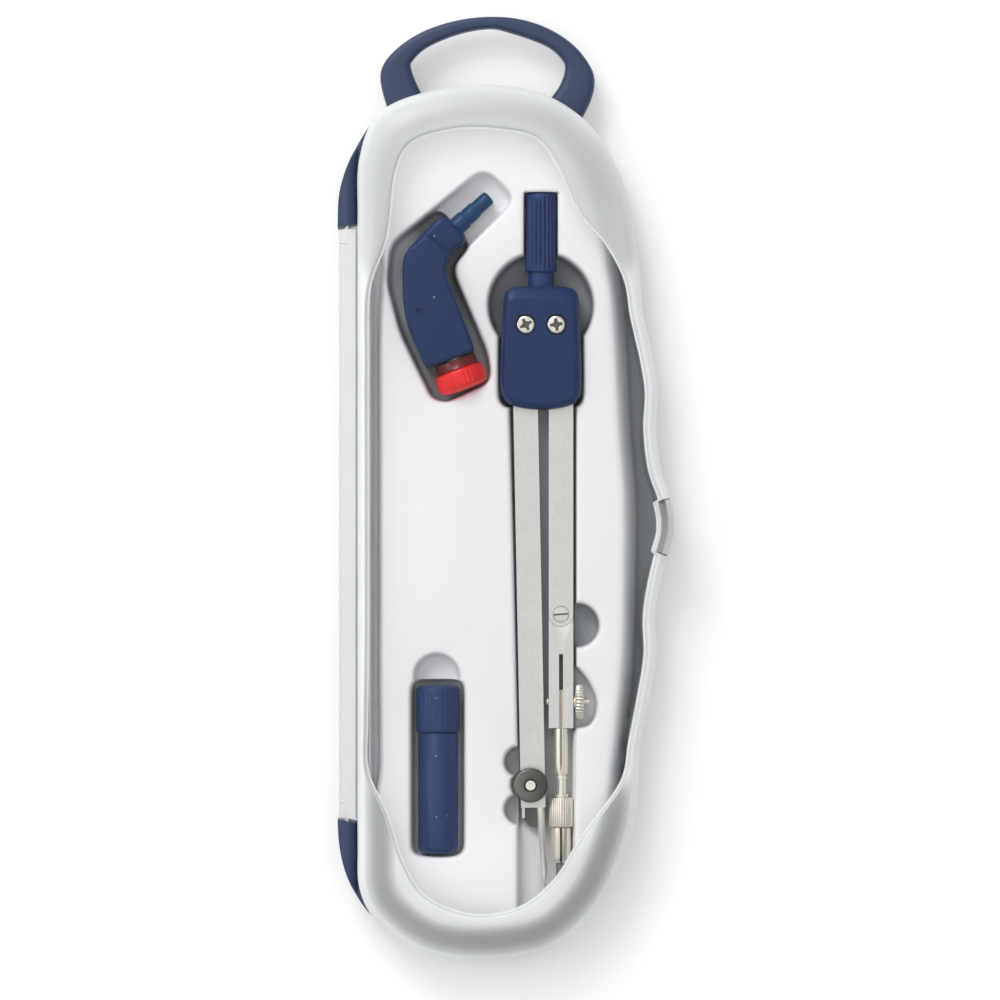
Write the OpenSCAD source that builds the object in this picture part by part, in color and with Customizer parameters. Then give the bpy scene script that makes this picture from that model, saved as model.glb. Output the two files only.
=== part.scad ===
// Drafting instrument case: a hinged box with a carry loop, a moulded liner and a compass set inside.
// The case lies flat. X runs across it, Y along it with the carry loop at +Y, and Z up through the lid.
// The origin is the centre of the underside. All sizes are in millimetres.

/* [Case] */
// Height of the plane where base and lid meet
parting_z = 8.5; // [8.3:0.1:9]
// Thickness of the closed case
case_t = 16.9; // [16.6:0.1:17.2]
// Wall thickness of the base moulding
base_wall = 2.0; // [1.8:0.1:2.4]
// Floor thickness of the base moulding
base_floor = 1.5; // [1.2:0.1:1.6]
// Wall thickness of the lid moulding
lid_wall = 1.3; // [1:0.1:1.5]
// Gap between the rims of base and lid
rim_gap = 0.1; // [0.05:0.05:0.2]
// Depth of the window below the crest of the shoulder
window_step = 0.5; // [0.3:0.1:0.8]

/* [Hinge] */
// Distance of the hinge axis from the centre line
hinge_x = 31.7; // [31.6:0.1:31.9]
// Radius of the base's ears about the hinge axis
ear_r = 1.85; // [1.7:0.05:1.85]
// Radius of the barrel on the lid
barrel_r = 1.6; // [1.4:0.1:1.7]
// Radius of the hinge pins
hinge_pin_r = 0.6; // [0.5:0.05:0.7]
// Length of each hinge pin
hinge_pin_l = 10; // [8:1:12]

/* [Carry loop] */
// Lowest point of the loop
loop_z0 = 2.6; // [2:0.1:3]
// Thickness of the loop
loop_t = 5.2; // [4:0.1:5.6]

/* [Latch] */
// Thickness of the strap that springs outwards
strap_t = 1.2; // [1:0.1:1.3]
// Lower edge of the strap
strap_z0 = 6; // [5.6:0.1:6.4]

/* [Liner tray] */
// Thickness of the formed sheet
sheet_t = 0.7; // [0.5:0.1:0.7]
// Height of the tray's top face
tray_top = 10; // [9.8:0.1:10.2]
// Height of the rim that stands against the base's wall
tray_rim = 7.8; // [7:0.1:8]

/* [Compass] */
// Distance of the compass from the case's centre line
compass_x = 7.1; // [7:0.1:7.2]
// Distance of the two leg pivots from the case's centre
pivot_y = 32.65; // [32.5:0.05:32.8]
// Height of the plane that the legs lie in
leg_z = 7.7; // [7.6:0.1:7.8]
// Width of a leg
leg_w = 4.9; // [4.7:0.1:4.9]
// Thickness of a leg
leg_t = 3; // [2.8:0.1:3]
// Thickness of the head
head_t = 9; // [8.6:0.1:9]
// Angle at which the needle leg stands to the lead leg
leg_tilt = 1.1; // [1:0.1:1.2]

/* [Adapter] */
// Height of the adapter's centre plane
adapter_z = 8.2; // [8.2:0.1:8.4]
// Thickness of the arm that takes the pen
arm_t = 11.4; // [11:0.1:11.6]
// Diameter of the pen hole
pen_d = 8.2; // [7.8:0.1:8.4]
// Diameter of the clamp knob
clamp_knob_d = 10.2; // [9.8:0.1:10.4]

/* [Lead case] */
// Diameter of the cap
cap_d = 8.8; // [8.6:0.1:8.8]
// Diameter of the tube
tube_d = 8; // [7.8:0.1:8.2]

/* [Hidden] */
$fn = 48;
eps = 0.01;

// Key points of the case's outline, clockwise from the top: x and y of the rim,
// then x and y of the crease where the lid's shoulder meets its window.
case_points = [
    [-3.3, 80.5, -3.1, 72.2], [7.9, 78.5, 6.1, 70.4], [16.7, 72.6, 10.9, 64.4], [22.1, 64.2, 15.3, 55.2],
    [25.3, 54.2, 20.1, 47.6], [26.7, 44, 24.3, 41.8], [27.5, 34.6, 25.7, 34], [29.4, 26.2, 27.5, 25.2],
    [30.4, 19.2, 28.3, 18.8], [30.1, 12, 28, 11.8], [30.9, 4.4, 28.9, 3.8], [33.1, -3, 31.1, -3],
    [33.6, -9, 31.1, -9], [31.1, -17.8, 29.1, -17.6], [29.8, -25.4, 27.9, -25.4], [30.1, -33.4, 28, -33.4],
    [28.7, -41.8, 26.2, -41.6], [26.9, -51, 24.5, -50.4], [26.4, -60.8, 22.1, -60.4],
    [24.3, -71.8, 16.1, -69], [18.9, -83.4, 10.3, -78.2], [9.3, -92, 2.9, -84], [-3.9, -94.5, -6.7, -85.4],
    [-16.1, -93, -16.1, -81.8], [-25.3, -86.8, -20.9, -74.8], [-29.1, -80, -24.3, -65.4],
    [-29.5, -70.4, -27.3, -57.4], [-29.5, -54.4, -28, -46.4], [-29.5, -30.4, -28, -30.4],
    [-29.5, -2.4, -28, -2.4], [-29.5, 23.6, -28, 24.6], [-29.5, 41.6, -27.7, 39.6],
    [-29.5, 54.6, -24.3, 50], [-29.2, 65.6, -22.5, 63.2], [-25.5, 74.6, -18.9, 69.4],
    [-16.1, 79, -10.7, 72]];
// Key points of the liner's raised platform.
platform_points = [
    [-3.1, 72], [7, 70], [12, 62.5], [18.3, 50], [20.8, 42], [22, 30], [22.9, 12], [24, -2.5], [23.9, -18],
    [23.6, -32], [22.5, -44], [20.7, -58], [16, -70], [8.5, -80.5], [-3.5, -84.6], [-15, -82],
    [-21, -74], [-24.2, -62], [-24.7, -42], [-24.7, -18], [-24.7, 8], [-24.7, 32], [-23.6, 48],
    [-21, 63], [-13.5, 70.6]];
// Key points of the outer and inner edges of the carry loop.
loop_outer_points = [
    [-21, 72], [-23.6, 75.8], [-25.1, 81.8], [-24.2, 85.4], [-20.7, 89], [-15.7, 91.9], [-9.5, 93.8],
    [-3.3, 94.5], [3, 94], [8.9, 92], [13.9, 88.6], [17.1, 84.4], [17.9, 81.2], [17.1, 77.6], [15.3, 74],
    [12, 70]];
loop_inner_points = [
    [7.5, 74], [9.1, 78.2], [10.9, 80.8], [11.9, 83.8], [11.3, 86], [7.9, 88.8], [0.9, 91.3], [-3.3, 92.1],
    [-9.5, 91], [-15.7, 88.4], [-18.7, 85.6], [-18.9, 84.2], [-18.1, 81.8], [-16.7, 78.8], [-15, 74]];
// Outer edges of the two ears that carry the hinge pins.
upper_ear_points = [
    [-20, 77.2], [-23.8, 75.7], [-26.2, 73.6], [-28, 71.4], [-30.7, 66.6], [-32.4, 62.4], [-33.4, 58],
    [-33.6, 52]];
lower_ear_points = [
    [-33.6, -66.3], [-33.3, -71], [-32.3, -75.8], [-30.5, -80.2], [-27.9, -84.3], [-25.3, -86.8]];

// Catmull-Rom curve through a ring of points, and through an open row of them.
function curve_at(a, b, c, d, t) =
    0.5 * (2 * b + (c - a) * t + (2 * a - 5 * b + 4 * c - d) * t * t + (3 * b - a - 3 * c + d) * t * t * t);
function ring_curve(p, steps) =
    [for (i = [0:len(p) - 1], k = [0:steps - 1])
        curve_at(p[(i + len(p) - 1) % len(p)], p[i], p[(i + 1) % len(p)], p[(i + 2) % len(p)], k / steps)];
function row_curve(p, steps) = concat(
    [for (i = [0:len(p) - 2], k = [0:steps - 1])
        curve_at(p[max(i - 1, 0)], p[i], p[i + 1], p[min(i + 2, len(p) - 1)], k / steps)],
    [p[len(p) - 1]]);
function unit(v) = v / norm(v);
// The clockwise ring moved inwards by d, square to its own direction.
function inward(p, d) =
    [for (i = [0:len(p) - 1])
        let (along = unit(p[(i + 1) % len(p)] - p[(i + len(p) - 1) % len(p)]))
        p[i] + d * [along[1], -along[0]]];
function at_height(p, z) = [for (q = p) [q[0], q[1], z]];
function flatten(lists) = [for (l = lists) each l];

case_ring = ring_curve(case_points, 2);
rim_line = [for (q = case_ring) [q[0], q[1]]];
crease_line = [for (q = case_ring) [q[2], q[3]]];
// The shoulder rises from the wall to its crest as a quarter of an ellipse.
shoulder_z = 11.8;
window_z = case_t - window_step;
window_t = 1.2;
function shoulder_ring(angle) =
    at_height([for (i = [0:len(rim_line) - 1])
                   rim_line[i] + (crease_line[i] - rim_line[i]) * (1 - cos(angle))],
              shoulder_z + (case_t - shoulder_z) * sin(angle));
// The inner face keeps a wall's thickness from the outer one.
inner_rim = inward(rim_line, lid_wall);
inner_crease = inward(crease_line, 0.6);
function inner_ring(angle) =
    at_height([for (i = [0:len(inner_rim) - 1])
                   inner_rim[i] + (inner_crease[i] - inner_rim[i]) * (1 - cos(angle))],
              shoulder_z - 0.6 + (window_z - window_t - shoulder_z + 0.6) * sin(angle));

// Compass: the two pivots, the head's ends, and the places along the legs.
pivot_half = 3.05;
pivots = [[compass_x - pivot_half, pivot_y], [compass_x + pivot_half, pivot_y]];
head_top = 40.4;
head_bottom = 15.7;
head_screw_r = 1;
head_screw_head_r = 1.9;
neck_r = 2.6;
grip_r = 3;
grip_top = 59.1;
grip_bottom = 43.3;
lead_d = 2; // the standard 2 mm lead
lead_x = 11.1;
leg_end = -47.95;
needle_leg_l = 96.5;
knee = [11.1, -25.2];
knee_screw_r = 0.9;
knee_head_r = 1.58;
clamp_y = -42.7;
clamp_screw_r = 0.65;
thumb_r = 3.5;
knob_at = [5, -59.3];
needle_top = [6.65, -57.8];
needle_r = 0.87;
needle_lean = 3.3;
// Adapter: the bend between arm and plug, the pen's axis and the clamp at the arm's end.
bend_angle = 20;
arm_end = [-10.3, 25.9];
plug_angle = 42;
pen_at = [-13.9, 35.4];
adapter_screw_r = 1.5;
// Lead case: its axis and the joint between tube and cap.
lead_case_x = -13.5;
lead_case_z = 6.8;
cap_y = -48.85;
cap_top = -40.1;
spigot_r = 3.2;
// Latch strap and hinge ears along Y.
strap_y0 = -13.4;
strap_y1 = -2.1;
ear_top_y = 52.05;
ear_low_y = -66.35;
pin_end = 5;
// Heights of the liner's pocket floors.
floor_deep = 2.3;
floor_head = 3.1;
floor_wheel = 3.8;
floor_grip = 4.4;
floor_legs = 4.8;
floor_lobe = 5.4;
floor_plug = 6.1;
floor_finger = 6.4;

navy = [0.16, 0.22, 0.36];
clear = [0.86, 0.87, 0.89, 0.5];
steel = [0.75, 0.74, 0.71];
satin = [0.8, 0.8, 0.78];

// A solid of rings stacked one on the next, closed by a fan at each end.
// With a hollow, the rings run up the outside and down the inside, and the ends are left to it.
module stack_of_rings(rings, low_centre, high_centre) {
    n = len(rings[0]);
    m = len(rings);
    points = concat(flatten(rings), [low_centre, high_centre]);
    walls = [for (k = [0:m - 2], i = [0:n - 1])
        let (j = (i + 1) % n)
        each [[k * n + i, k * n + j, (k + 1) * n + j], [k * n + i, (k + 1) * n + j, (k + 1) * n + i]]];
    low_fan = [for (i = [0:n - 1]) [m * n, (i + 1) % n, i]];
    high_fan = [for (i = [0:n - 1]) [m * n + 1, (m - 1) * n + i, (m - 1) * n + (i + 1) % n]];
    polyhedron(points = points, faces = concat(walls, low_fan, high_fan));
}

// A round bar that runs along Y between two places.
module bar_y(x, z, y0, y1, r) {
    translate([x, y1, z])
        rotate([90, 0, 0])
            cylinder(r = r, h = y1 - y0);
}

// A round bar that runs along Y and changes radius, r0 at y0 and r1 at y1.
module cone_y(x, z, y0, y1, r0, r1) {
    translate([x, y1, z])
        rotate([90, 0, 0])
            cylinder(r1 = r1, r2 = r0, h = y1 - y0);
}

// A round bar with ribs along it, for grips and knurled nuts, standing on the XY plane.
module ribbed_bar(r, depth, ribs, h) {
    linear_extrude(h)
        polygon([for (i = [0:ribs - 1], k = [0:3])
            let (a = 360 * (i + [0.06, 0.44, 0.56, 0.94][k]) / ribs, d = [0, 0, depth, depth][k])
            (r - d) * [cos(a), sin(a)]]);
}

module case_solid_2d(inset) {
    polygon(inward(rim_line, inset));
}

module ear_2d(points, inner_x, steps) {
    edge = row_curve(points, steps);
    last = len(edge) - 1;
    polygon(concat(edge, [[inner_x, edge[last][1]], [inner_x, edge[0][1]]]));
}

// One ear: full depth below the hinge axis, and rounded about the axis above it.
module ear(points, inner_x) {
    linear_extrude(parting_z - eps)
        ear_2d(points, inner_x, 3);
    intersection() {
        linear_extrude(case_t)
            ear_2d(points, inner_x, 3);
        bar_y(-hinge_x, parting_z, -90, 90, ear_r);
    }
}

module hinge_pin(y0) {
    bar_y(-hinge_x, parting_z, y0, y0 + hinge_pin_l, hinge_pin_r);
}

// The stretch of the wall at the right-hand bulge, between two depths from the outline.
module strap_zone(outer, inner, margin, z0, z1) {
    intersection() {
        difference() {
            translate([0, 0, z0])
                linear_extrude(z1 - z0)
                    case_solid_2d(outer);
            translate([0, 0, z0 - 1])
                linear_extrude(z1 - z0 + 2)
                    case_solid_2d(inner);
        }
        translate([25, strap_y0 - margin, 0])
            cube([15, strap_y1 - strap_y0 + 2 * margin, case_t + 5]);
    }
}

module base_shell() {
    color(navy)
    difference() {
        union() {
            stack_of_rings([at_height(inward(rim_line, 1.6), 0), at_height(inward(rim_line, 0.5), 0.7),
                            at_height(rim_line, 2.2), at_height(rim_line, parting_z - rim_gap / 2)],
                           [0, 0, 0], [0, 0, parting_z - rim_gap / 2]);
            ear(upper_ear_points, -19);
            ear(lower_ear_points, -22);
            translate([0, 0, loop_z0])
                linear_extrude(loop_t)
                    polygon(concat(row_curve(loop_outer_points, 2), row_curve(loop_inner_points, 2)));
        }
        translate([0, 0, base_floor])
            linear_extrude(case_t)
                case_solid_2d(base_wall);
        strap_zone(-1, strap_t + 0.1, 0.3, strap_z0 - 0.2, case_t);
        hinge_pin(ear_top_y - pin_end);
        hinge_pin(ear_low_y - pin_end);
    }
}

module hinge_pins() {
    color(steel) {
        hinge_pin(ear_top_y - pin_end);
        hinge_pin(ear_low_y - pin_end);
    }
}

// The pockets of the liner, each with the height of its floor. Grow widens them by a sheet's thickness.
module pocket(floor_z, grow, drop) {
    translate([0, 0, floor_z - drop])
        linear_extrude(case_t)
            offset(r = grow)
                children();
}

module adapter_pocket_2d() {
    offset(r = 1.4)
        offset(delta = -1.4)
            polygon([[-13.2, 56.6], [-6.6, 49], [-10.6, 43.9], [-3.2, 26.5], [-2.7, 21.3],
                     [-11.8, 17], [-14.8, 17.8], [-21, 31], [-23.7, 41.2], [-22.8, 48.9]]);
}

module plug_pocket_2d() {
    offset(r = 2.8)
        offset(delta = -2.8)
            polygon([[-5.7, 63.4], [0.9, 57.2], [-10.4, 45.2], [-17.5, 53.4]]);
}

module leg_pocket_2d() {
    polygon([[0.6, 20], [1.5, -14.4], [2.3, -50], [2.4, -85.5], [11, -85.5], [14.3, -76], [14.3, 20]]);
    translate(knob_at)
        circle(r = 3.9);
}

module head_pocket_2d() {
    translate([compass_x, 36.6])
        circle(r = 10.6);
    translate([compass_x - 8.5, 17.2])
        square([17, 20]);
    translate([compass_x - 7.2, 15.2])
        square([14.4, 3]);
}

module pockets(grow, drop) {
    pocket(floor_deep, grow, drop)
        adapter_pocket_2d();
    pocket(floor_plug, grow, drop)
        plug_pocket_2d();
    pocket(floor_head, grow, drop)
        head_pocket_2d();
    pocket(floor_grip, grow, drop)
        translate([compass_x - 4, head_top - 0.4])
            square([8.2, 19.7]);
    pocket(floor_legs, grow, drop)
        leg_pocket_2d();
    // Finger notch beside the knee, and the space for the clamp's wheel.
    pocket(floor_lobe, grow, drop)
        translate([14.3, -27.4])
            circle(r = 4.6);
    pocket(floor_wheel, grow, drop)
        polygon([[13, -35], [14.2, -35.4], [16.9, -38.4], [18.5, -42.4], [18.3, -45.4], [16.9, -47.8],
                 [13, -48.4]]);
    // Finger lobes above and below the needle clamp.
    pocket(floor_lobe, grow, drop)
        translate([2.9, -54.7])
            circle(r = 3.3);
    pocket(floor_finger, grow, drop)
        translate([2.9, -64.2])
            circle(r = 3.3);
    // Lead case, with a finger dome at its cap.
    pocket(floor_deep, grow, drop)
        offset(r = 1.8)
            translate([-17.1, -71.9])
                square([7.2, 32]);
    pocket(floor_finger, grow, drop)
        translate([-13.7, -37.7])
            circle(r = 4.7);
}

module tray_outer() {
    difference() {
        translate([0, 0, base_floor])
            linear_extrude(tray_rim - base_floor)
                case_solid_2d(base_wall + 0.3);
        translate([0, 0, base_floor + sheet_t])
            linear_extrude(case_t)
                case_solid_2d(base_wall + 0.3 + sheet_t);
    }
    translate([0, 0, base_floor])
        linear_extrude(tray_top - base_floor)
            polygon(ring_curve(platform_points, 2));
}

module insert_tray() {
    color([0.93, 0.93, 0.93])
    difference() {
        tray_outer();
        pockets(0, 0);
        difference() {
            translate([0, 0, -1])
                linear_extrude(tray_top - sheet_t + 1)
                    offset(delta = -sheet_t)
                        polygon(ring_curve(platform_points, 2));
            pockets(sheet_t, sheet_t);
        }
    }
}

// The lid's outside, closed from below by the rim plane.
module lid_outside() {
    stack_of_rings([at_height(rim_line, parting_z + rim_gap / 2), at_height(rim_line, shoulder_z),
                    shoulder_ring(30), shoulder_ring(60), shoulder_ring(90),
                    at_height(inward(crease_line, 0.5), window_z)],
                   [0, 0, parting_z + rim_gap / 2], [0, 0, window_z]);
}

module lid_inside() {
    stack_of_rings([at_height(inner_rim, parting_z - 1), at_height(inner_rim, shoulder_z - 0.6),
                    inner_ring(45), inner_ring(90)],
                   [0, 0, parting_z - 1], [0, 0, window_z - window_t]);
}

module lid() {
    color(clear)
    difference() {
        union() {
            difference() {
                lid_outside();
                lid_inside();
            }
            bar_y(-hinge_x, parting_z, ear_low_y + 0.25, ear_top_y - 0.25, barrel_r);
            translate([-hinge_x, ear_low_y + 0.25, parting_z + rim_gap / 2])
                cube([hinge_x - 29.5 + lid_wall, ear_top_y - ear_low_y - 0.5, barrel_r - rim_gap / 2]);
        }
        bar_y(-hinge_x, parting_z, ear_top_y - 5.6, ear_top_y + 1, hinge_pin_r + 0.05);
        bar_y(-hinge_x, parting_z, ear_low_y - 1, ear_low_y + 5.6, hinge_pin_r + 0.05);
        strap_zone(-1, strap_t + 1.3, 0.15, parting_z - 1, case_t + 2);
    }
}

module latch_strap() {
    color(clear) {
        intersection() {
            lid_outside();
            strap_zone(-1, strap_t, 0, strap_z0, case_t + 1);
        }
        strap_zone(0, strap_t, 0, strap_z0, parting_z + rim_gap);
    }
}

// Outline of the compass head, wider and rounder at its lower end.
module head_2d(inset) {
    hull() {
        for (side = [-1, 1]) {
            translate([compass_x + side * 5.8, head_top - 1.7])
                circle(r = 1.7 - inset, $fn = 32);
            translate([compass_x + side * 5.65, head_bottom + 4.3])
                circle(r = 2.4 - inset, $fn = 32);
        }
        translate([compass_x, head_bottom + 8.05])
            circle(r = 8.05 - inset, $fn = 64);
    }
}

// Half of the head, from the leg plane outwards: side is 1 for the front half and -1 for the rear one.
module head_half(side) {
    half = head_t / 2;
    difference() {
        hull() {
            translate([0, 0, side > 0 ? leg_z : leg_z - 3.2])
                linear_extrude(3.2)
                    head_2d(0);
            translate([0, 0, side > 0 ? leg_z + half - 0.1 : leg_z - half])
                linear_extrude(0.1)
                    head_2d(1);
        }
        translate([-5, head_bottom - 5, leg_z - leg_t / 2 - 0.05])
            cube([25, pivot_y + 3.8 - head_bottom + 5, leg_t + 0.1]);
        bar_y(compass_x, leg_z, head_top - 3.2, head_top + 1, neck_r);
        for (p = pivots)
            translate([p[0], p[1], 0])
                cylinder(r = head_screw_r, h = case_t);
        if (side > 0)
            for (p = pivots)
                translate([p[0], p[1], leg_z + half - 0.9])
                    cylinder(r = head_screw_head_r + 0.25, h = 5);
    }
}

module head_front() {
    color(navy)
        head_half(1);
}

module head_rear() {
    color(navy)
        head_half(-1);
}

// Cross-recessed screws that join the two halves and carry the legs.
module head_screws() {
    color(steel)
    for (p = pivots)
        translate([p[0], p[1], 0])
            difference() {
                union() {
                    translate([0, 0, leg_z - head_t / 2 + 0.4])
                        cylinder(r = head_screw_r, h = head_t - 1.3);
                    translate([0, 0, leg_z + head_t / 2 - 0.9])
                        cylinder(r = head_screw_head_r, h = 0.7);
                }
                for (turn = [30, 120])
                    rotate([0, 0, turn])
                        translate([-1.2, -0.25, leg_z + head_t / 2 - 0.65])
                            cube([2.4, 0.5, 2]);
            }
}

module compass_grip() {
    color(navy) {
        translate([compass_x, grip_top, leg_z])
            rotate([90, 0, 0])
                ribbed_bar(grip_r, 0.3, 20, grip_top - grip_bottom);
        bar_y(compass_x, leg_z, head_top - 3.2, grip_bottom + 0.7, neck_r);
    }
}

// The toothed top of a leg, which meshes with the other one.
module leg_top_2d(phase) {
    circle(r = 2.55);
    for (i = [0:11])
        rotate(phase + 30 * i)
            polygon([[2.4, -0.33], [3.3, -0.17], [3.3, 0.17], [2.4, 0.33]]);
}

module needle_leg() {
    color(satin)
    difference() {
        union() {
            translate([pivots[0][0], pivots[0][1], leg_z - leg_t / 2])
                rotate(leg_tilt)
                    linear_extrude(leg_t) {
                        leg_top_2d(0);
                        translate([-0.35 - leg_w / 2, -needle_leg_l])
                            square([leg_w, needle_leg_l - 1.5]);
                    }
            translate([0, 0, leg_z - leg_t / 2])
                linear_extrude(1.2)
                    polygon([[3.3, -60], [6.2, -60], [6.2, -67.8], [5, -67.8], [3.3, -65.9]]);
        }
        translate([pivots[0][0], pivots[0][1], 0])
            cylinder(r = head_screw_r + 0.03, h = case_t);
        translate([knob_at[0], knob_at[1], 0])
            cylinder(r = 0.85, h = case_t);
        translate([needle_top[0], needle_top[1], leg_z])
            rotate([90, 0, needle_lean])
                cylinder(r = needle_r + 0.03, h = 20);
    }
}

module lead_leg_upper() {
    color(satin)
    difference() {
        translate([0, 0, leg_z - leg_t / 2])
            linear_extrude(leg_t) {
                translate(pivots[1])
                    leg_top_2d(15);
                translate([knee[0] - leg_w / 2, knee[1]])
                    square([leg_w, pivot_y - 1.5 - knee[1]]);
                translate(knee)
                    circle(r = leg_w / 2);
            }
        translate([pivots[1][0], pivots[1][1], 0])
            cylinder(r = head_screw_r + 0.03, h = case_t);
        translate([knee[0] - 3, knee[1] - 3, leg_z - 0.55])
            cube([6, 6, 1.1]);
        translate([knee[0], knee[1], leg_z - 0.55])
            cylinder(r = 3.1, h = 1.1);
        translate([knee[0], knee[1], 0])
            cylinder(r = knee_screw_r + 0.03, h = case_t);
        translate([knee[0], knee[1], leg_z + leg_t / 2 - 0.35])
            cylinder(r = knee_head_r + 0.04, h = 2);
    }
}

// The lower half of the lead leg: a tongue in the knee, and a slit clamp at its foot.
module lead_leg_lower() {
    color(satin)
    difference() {
        union() {
            difference() {
                translate([knee[0] - leg_w / 2, leg_end, leg_z - leg_t / 2])
                    cube([leg_w, knee[1] - leg_end, leg_t]);
                translate([knee[0], knee[1], 0])
                    cylinder(r = leg_w / 2 + 0.05, h = case_t);
            }
            translate([knee[0], knee[1], leg_z - 0.5])
                cylinder(r = leg_w / 2 - 0.05, h = 1);
            translate([knee[0] - 2.3, knee[1] - 3, leg_z - 0.5])
                cube([4.6, 3, 1]);
        }
        translate([knee[0], knee[1], 0])
            cylinder(r = knee_screw_r + 0.03, h = case_t);
        translate([knee[0] - 0.4, leg_end - 1, 0])
            cube([0.8, 15.8, case_t]);
        bar_y(lead_x, leg_z, leg_end - 1, -39.6, 1.03);
        translate([0, clamp_y, leg_z])
            rotate([0, 90, 0])
                cylinder(r = clamp_screw_r + 0.03, h = 30);
    }
}

module knee_screw() {
    color(steel)
    translate([knee[0], knee[1], 0])
        difference() {
            union() {
                translate([0, 0, leg_z - leg_t / 2])
                    cylinder(r = knee_screw_r, h = leg_t);
                translate([0, 0, leg_z + leg_t / 2 - 0.35])
                    cylinder(r = knee_head_r, h = 0.45);
            }
            rotate([0, 0, 5])
                translate([-2, -0.2, leg_z + leg_t / 2 - 0.2])
                    cube([4, 0.4, 1]);
        }
}

module leg_clamp_screw() {
    color(steel)
    translate([0, clamp_y, leg_z])
        rotate([0, 90, 0]) {
            translate([0, 0, 8.65])
                cylinder(r = clamp_screw_r, h = 8.15);
            translate([0, 0, 8.15])
                cylinder(r = 0.85, h = 0.5);
        }
}

module leg_clamp_wheel() {
    color(steel)
    translate([0, clamp_y, leg_z])
        rotate([0, 90, 0])
            difference() {
                union() {
                    translate([0, 0, 13.65])
                        cylinder(r = 1.25, h = 0.4);
                    translate([0, 0, 13.95])
                        ribbed_bar(thumb_r, 0.22, 30, 1.7);
                }
                cylinder(r = clamp_screw_r + 0.03, h = 30);
            }
}

// Shank for the leg's clamp, tube, waist and threaded end.
module lead_holder() {
    color(steel)
    difference() {
        union() {
            bar_y(lead_x, leg_z, -48.5, -40.2, 1);
            bar_y(lead_x, leg_z, -54.6, leg_end - 0.05, 1.4);
            cone_y(lead_x, leg_z, -57.3, -54.6, 1.2, 1.4);
            bar_y(lead_x, leg_z, -62, -57.3, 1.02);
            bar_y(lead_x, leg_z, -58.3, -57.7, 1.2);
            bar_y(lead_x, leg_z, -61.75, -61.1, 1.45);
            bar_y(lead_x, leg_z, -66.4, -62, 1.5);
        }
        bar_y(lead_x, leg_z, -67, -56, lead_d / 2);
        translate([0, clamp_y, leg_z])
            rotate([0, 90, 0])
                cylinder(r = clamp_screw_r + 0.03, h = 30);
    }
}

// Slotted jaws that grip the lead.
module collet() {
    color(satin)
    difference() {
        union() {
            bar_y(lead_x, leg_z, -68, -66.45, 1.5);
            bar_y(lead_x, leg_z, -74.1, -67.9, 2);
            cone_y(lead_x, leg_z, -74.95, -74.1, 1.35, 2);
        }
        bar_y(lead_x, leg_z, -76, -60, lead_d / 2);
        translate([lead_x - 0.2, -76, leg_z - 3])
            cube([0.4, 7.4, 6]);
    }
}

module collet_nut() {
    color(steel)
    difference() {
        translate([lead_x, -61.85, leg_z])
            rotate([90, 0, 0])
                ribbed_bar(2.5, 0.16, 24, 5.9);
        bar_y(lead_x, leg_z, -70, -60, 1.56);
    }
}

module drawing_lead() {
    color([0.25, 0.25, 0.26])
    difference() {
        bar_y(lead_x, leg_z, -77.7, -57, lead_d / 2 - 0.01);
        translate([lead_x - 0.5, -77.8, leg_z - 3])
            rotate([0, 0, 60])
                translate([-1, -5, 0])
                    cube([8, 5, 6]);
    }
}

module needle() {
    color(steel)
    translate([needle_top[0], needle_top[1], leg_z])
        rotate([90, 0, needle_lean]) {
            cylinder(r = needle_r, h = 6);
            translate([0, 0, 6])
                cylinder(r1 = needle_r, r2 = 0.75, h = 6);
            translate([0, 0, 12])
                cylinder(r1 = 0.68, r2 = 0.6, h = 7.6);
            translate([0, 0, 19.6])
                cylinder(r1 = 0.6, r2 = 0.05, h = 2.6);
        }
}

module needle_clamp_knob() {
    color([0.3, 0.29, 0.27])
    translate([knob_at[0], knob_at[1], leg_z + leg_t / 2 + 0.1])
        difference() {
            ribbed_bar(thumb_r, 0.18, 36, 2.3);
            translate([0, 0, -1])
                cylinder(r = 0.8, h = 5);
            translate([0, 0, 1.8])
                cylinder(r = 1.1, h = 5);
        }
}

module needle_clamp_screw() {
    color(steel)
    translate([knob_at[0], knob_at[1], 0]) {
        translate([0, 0, leg_z - leg_t / 2 + 0.2])
            cylinder(r = 0.8, h = leg_t + 1.8);
        translate([0, 0, leg_z + leg_t / 2 + 1.9])
            cylinder(r = 1.1, h = 0.6);
    }
}

// Arm and neck of the adapter, seen from above.
module adapter_arm_2d() {
    offset(r = 0.8, $fn = 24)
        offset(delta = -0.8)
            polygon([[-12.1, 43.6], [-6, 27.4], [-15.9, 23.8], [-18.6, 29.6], [-20, 33.8], [-20.5, 38],
                     [-20.6, 44], [-20.1, 46.9], [-15.6, 51], [-11, 46.6]]);
}

module adapter_neck_2d() {
    polygon([[-20, 47.2], [-13.3, 54.3], [-11.8, 54.1], [-7.9, 50.4], [-8, 49], [-11, 46.8], [-13, 43],
             [-18.5, 42]]);
}

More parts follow.
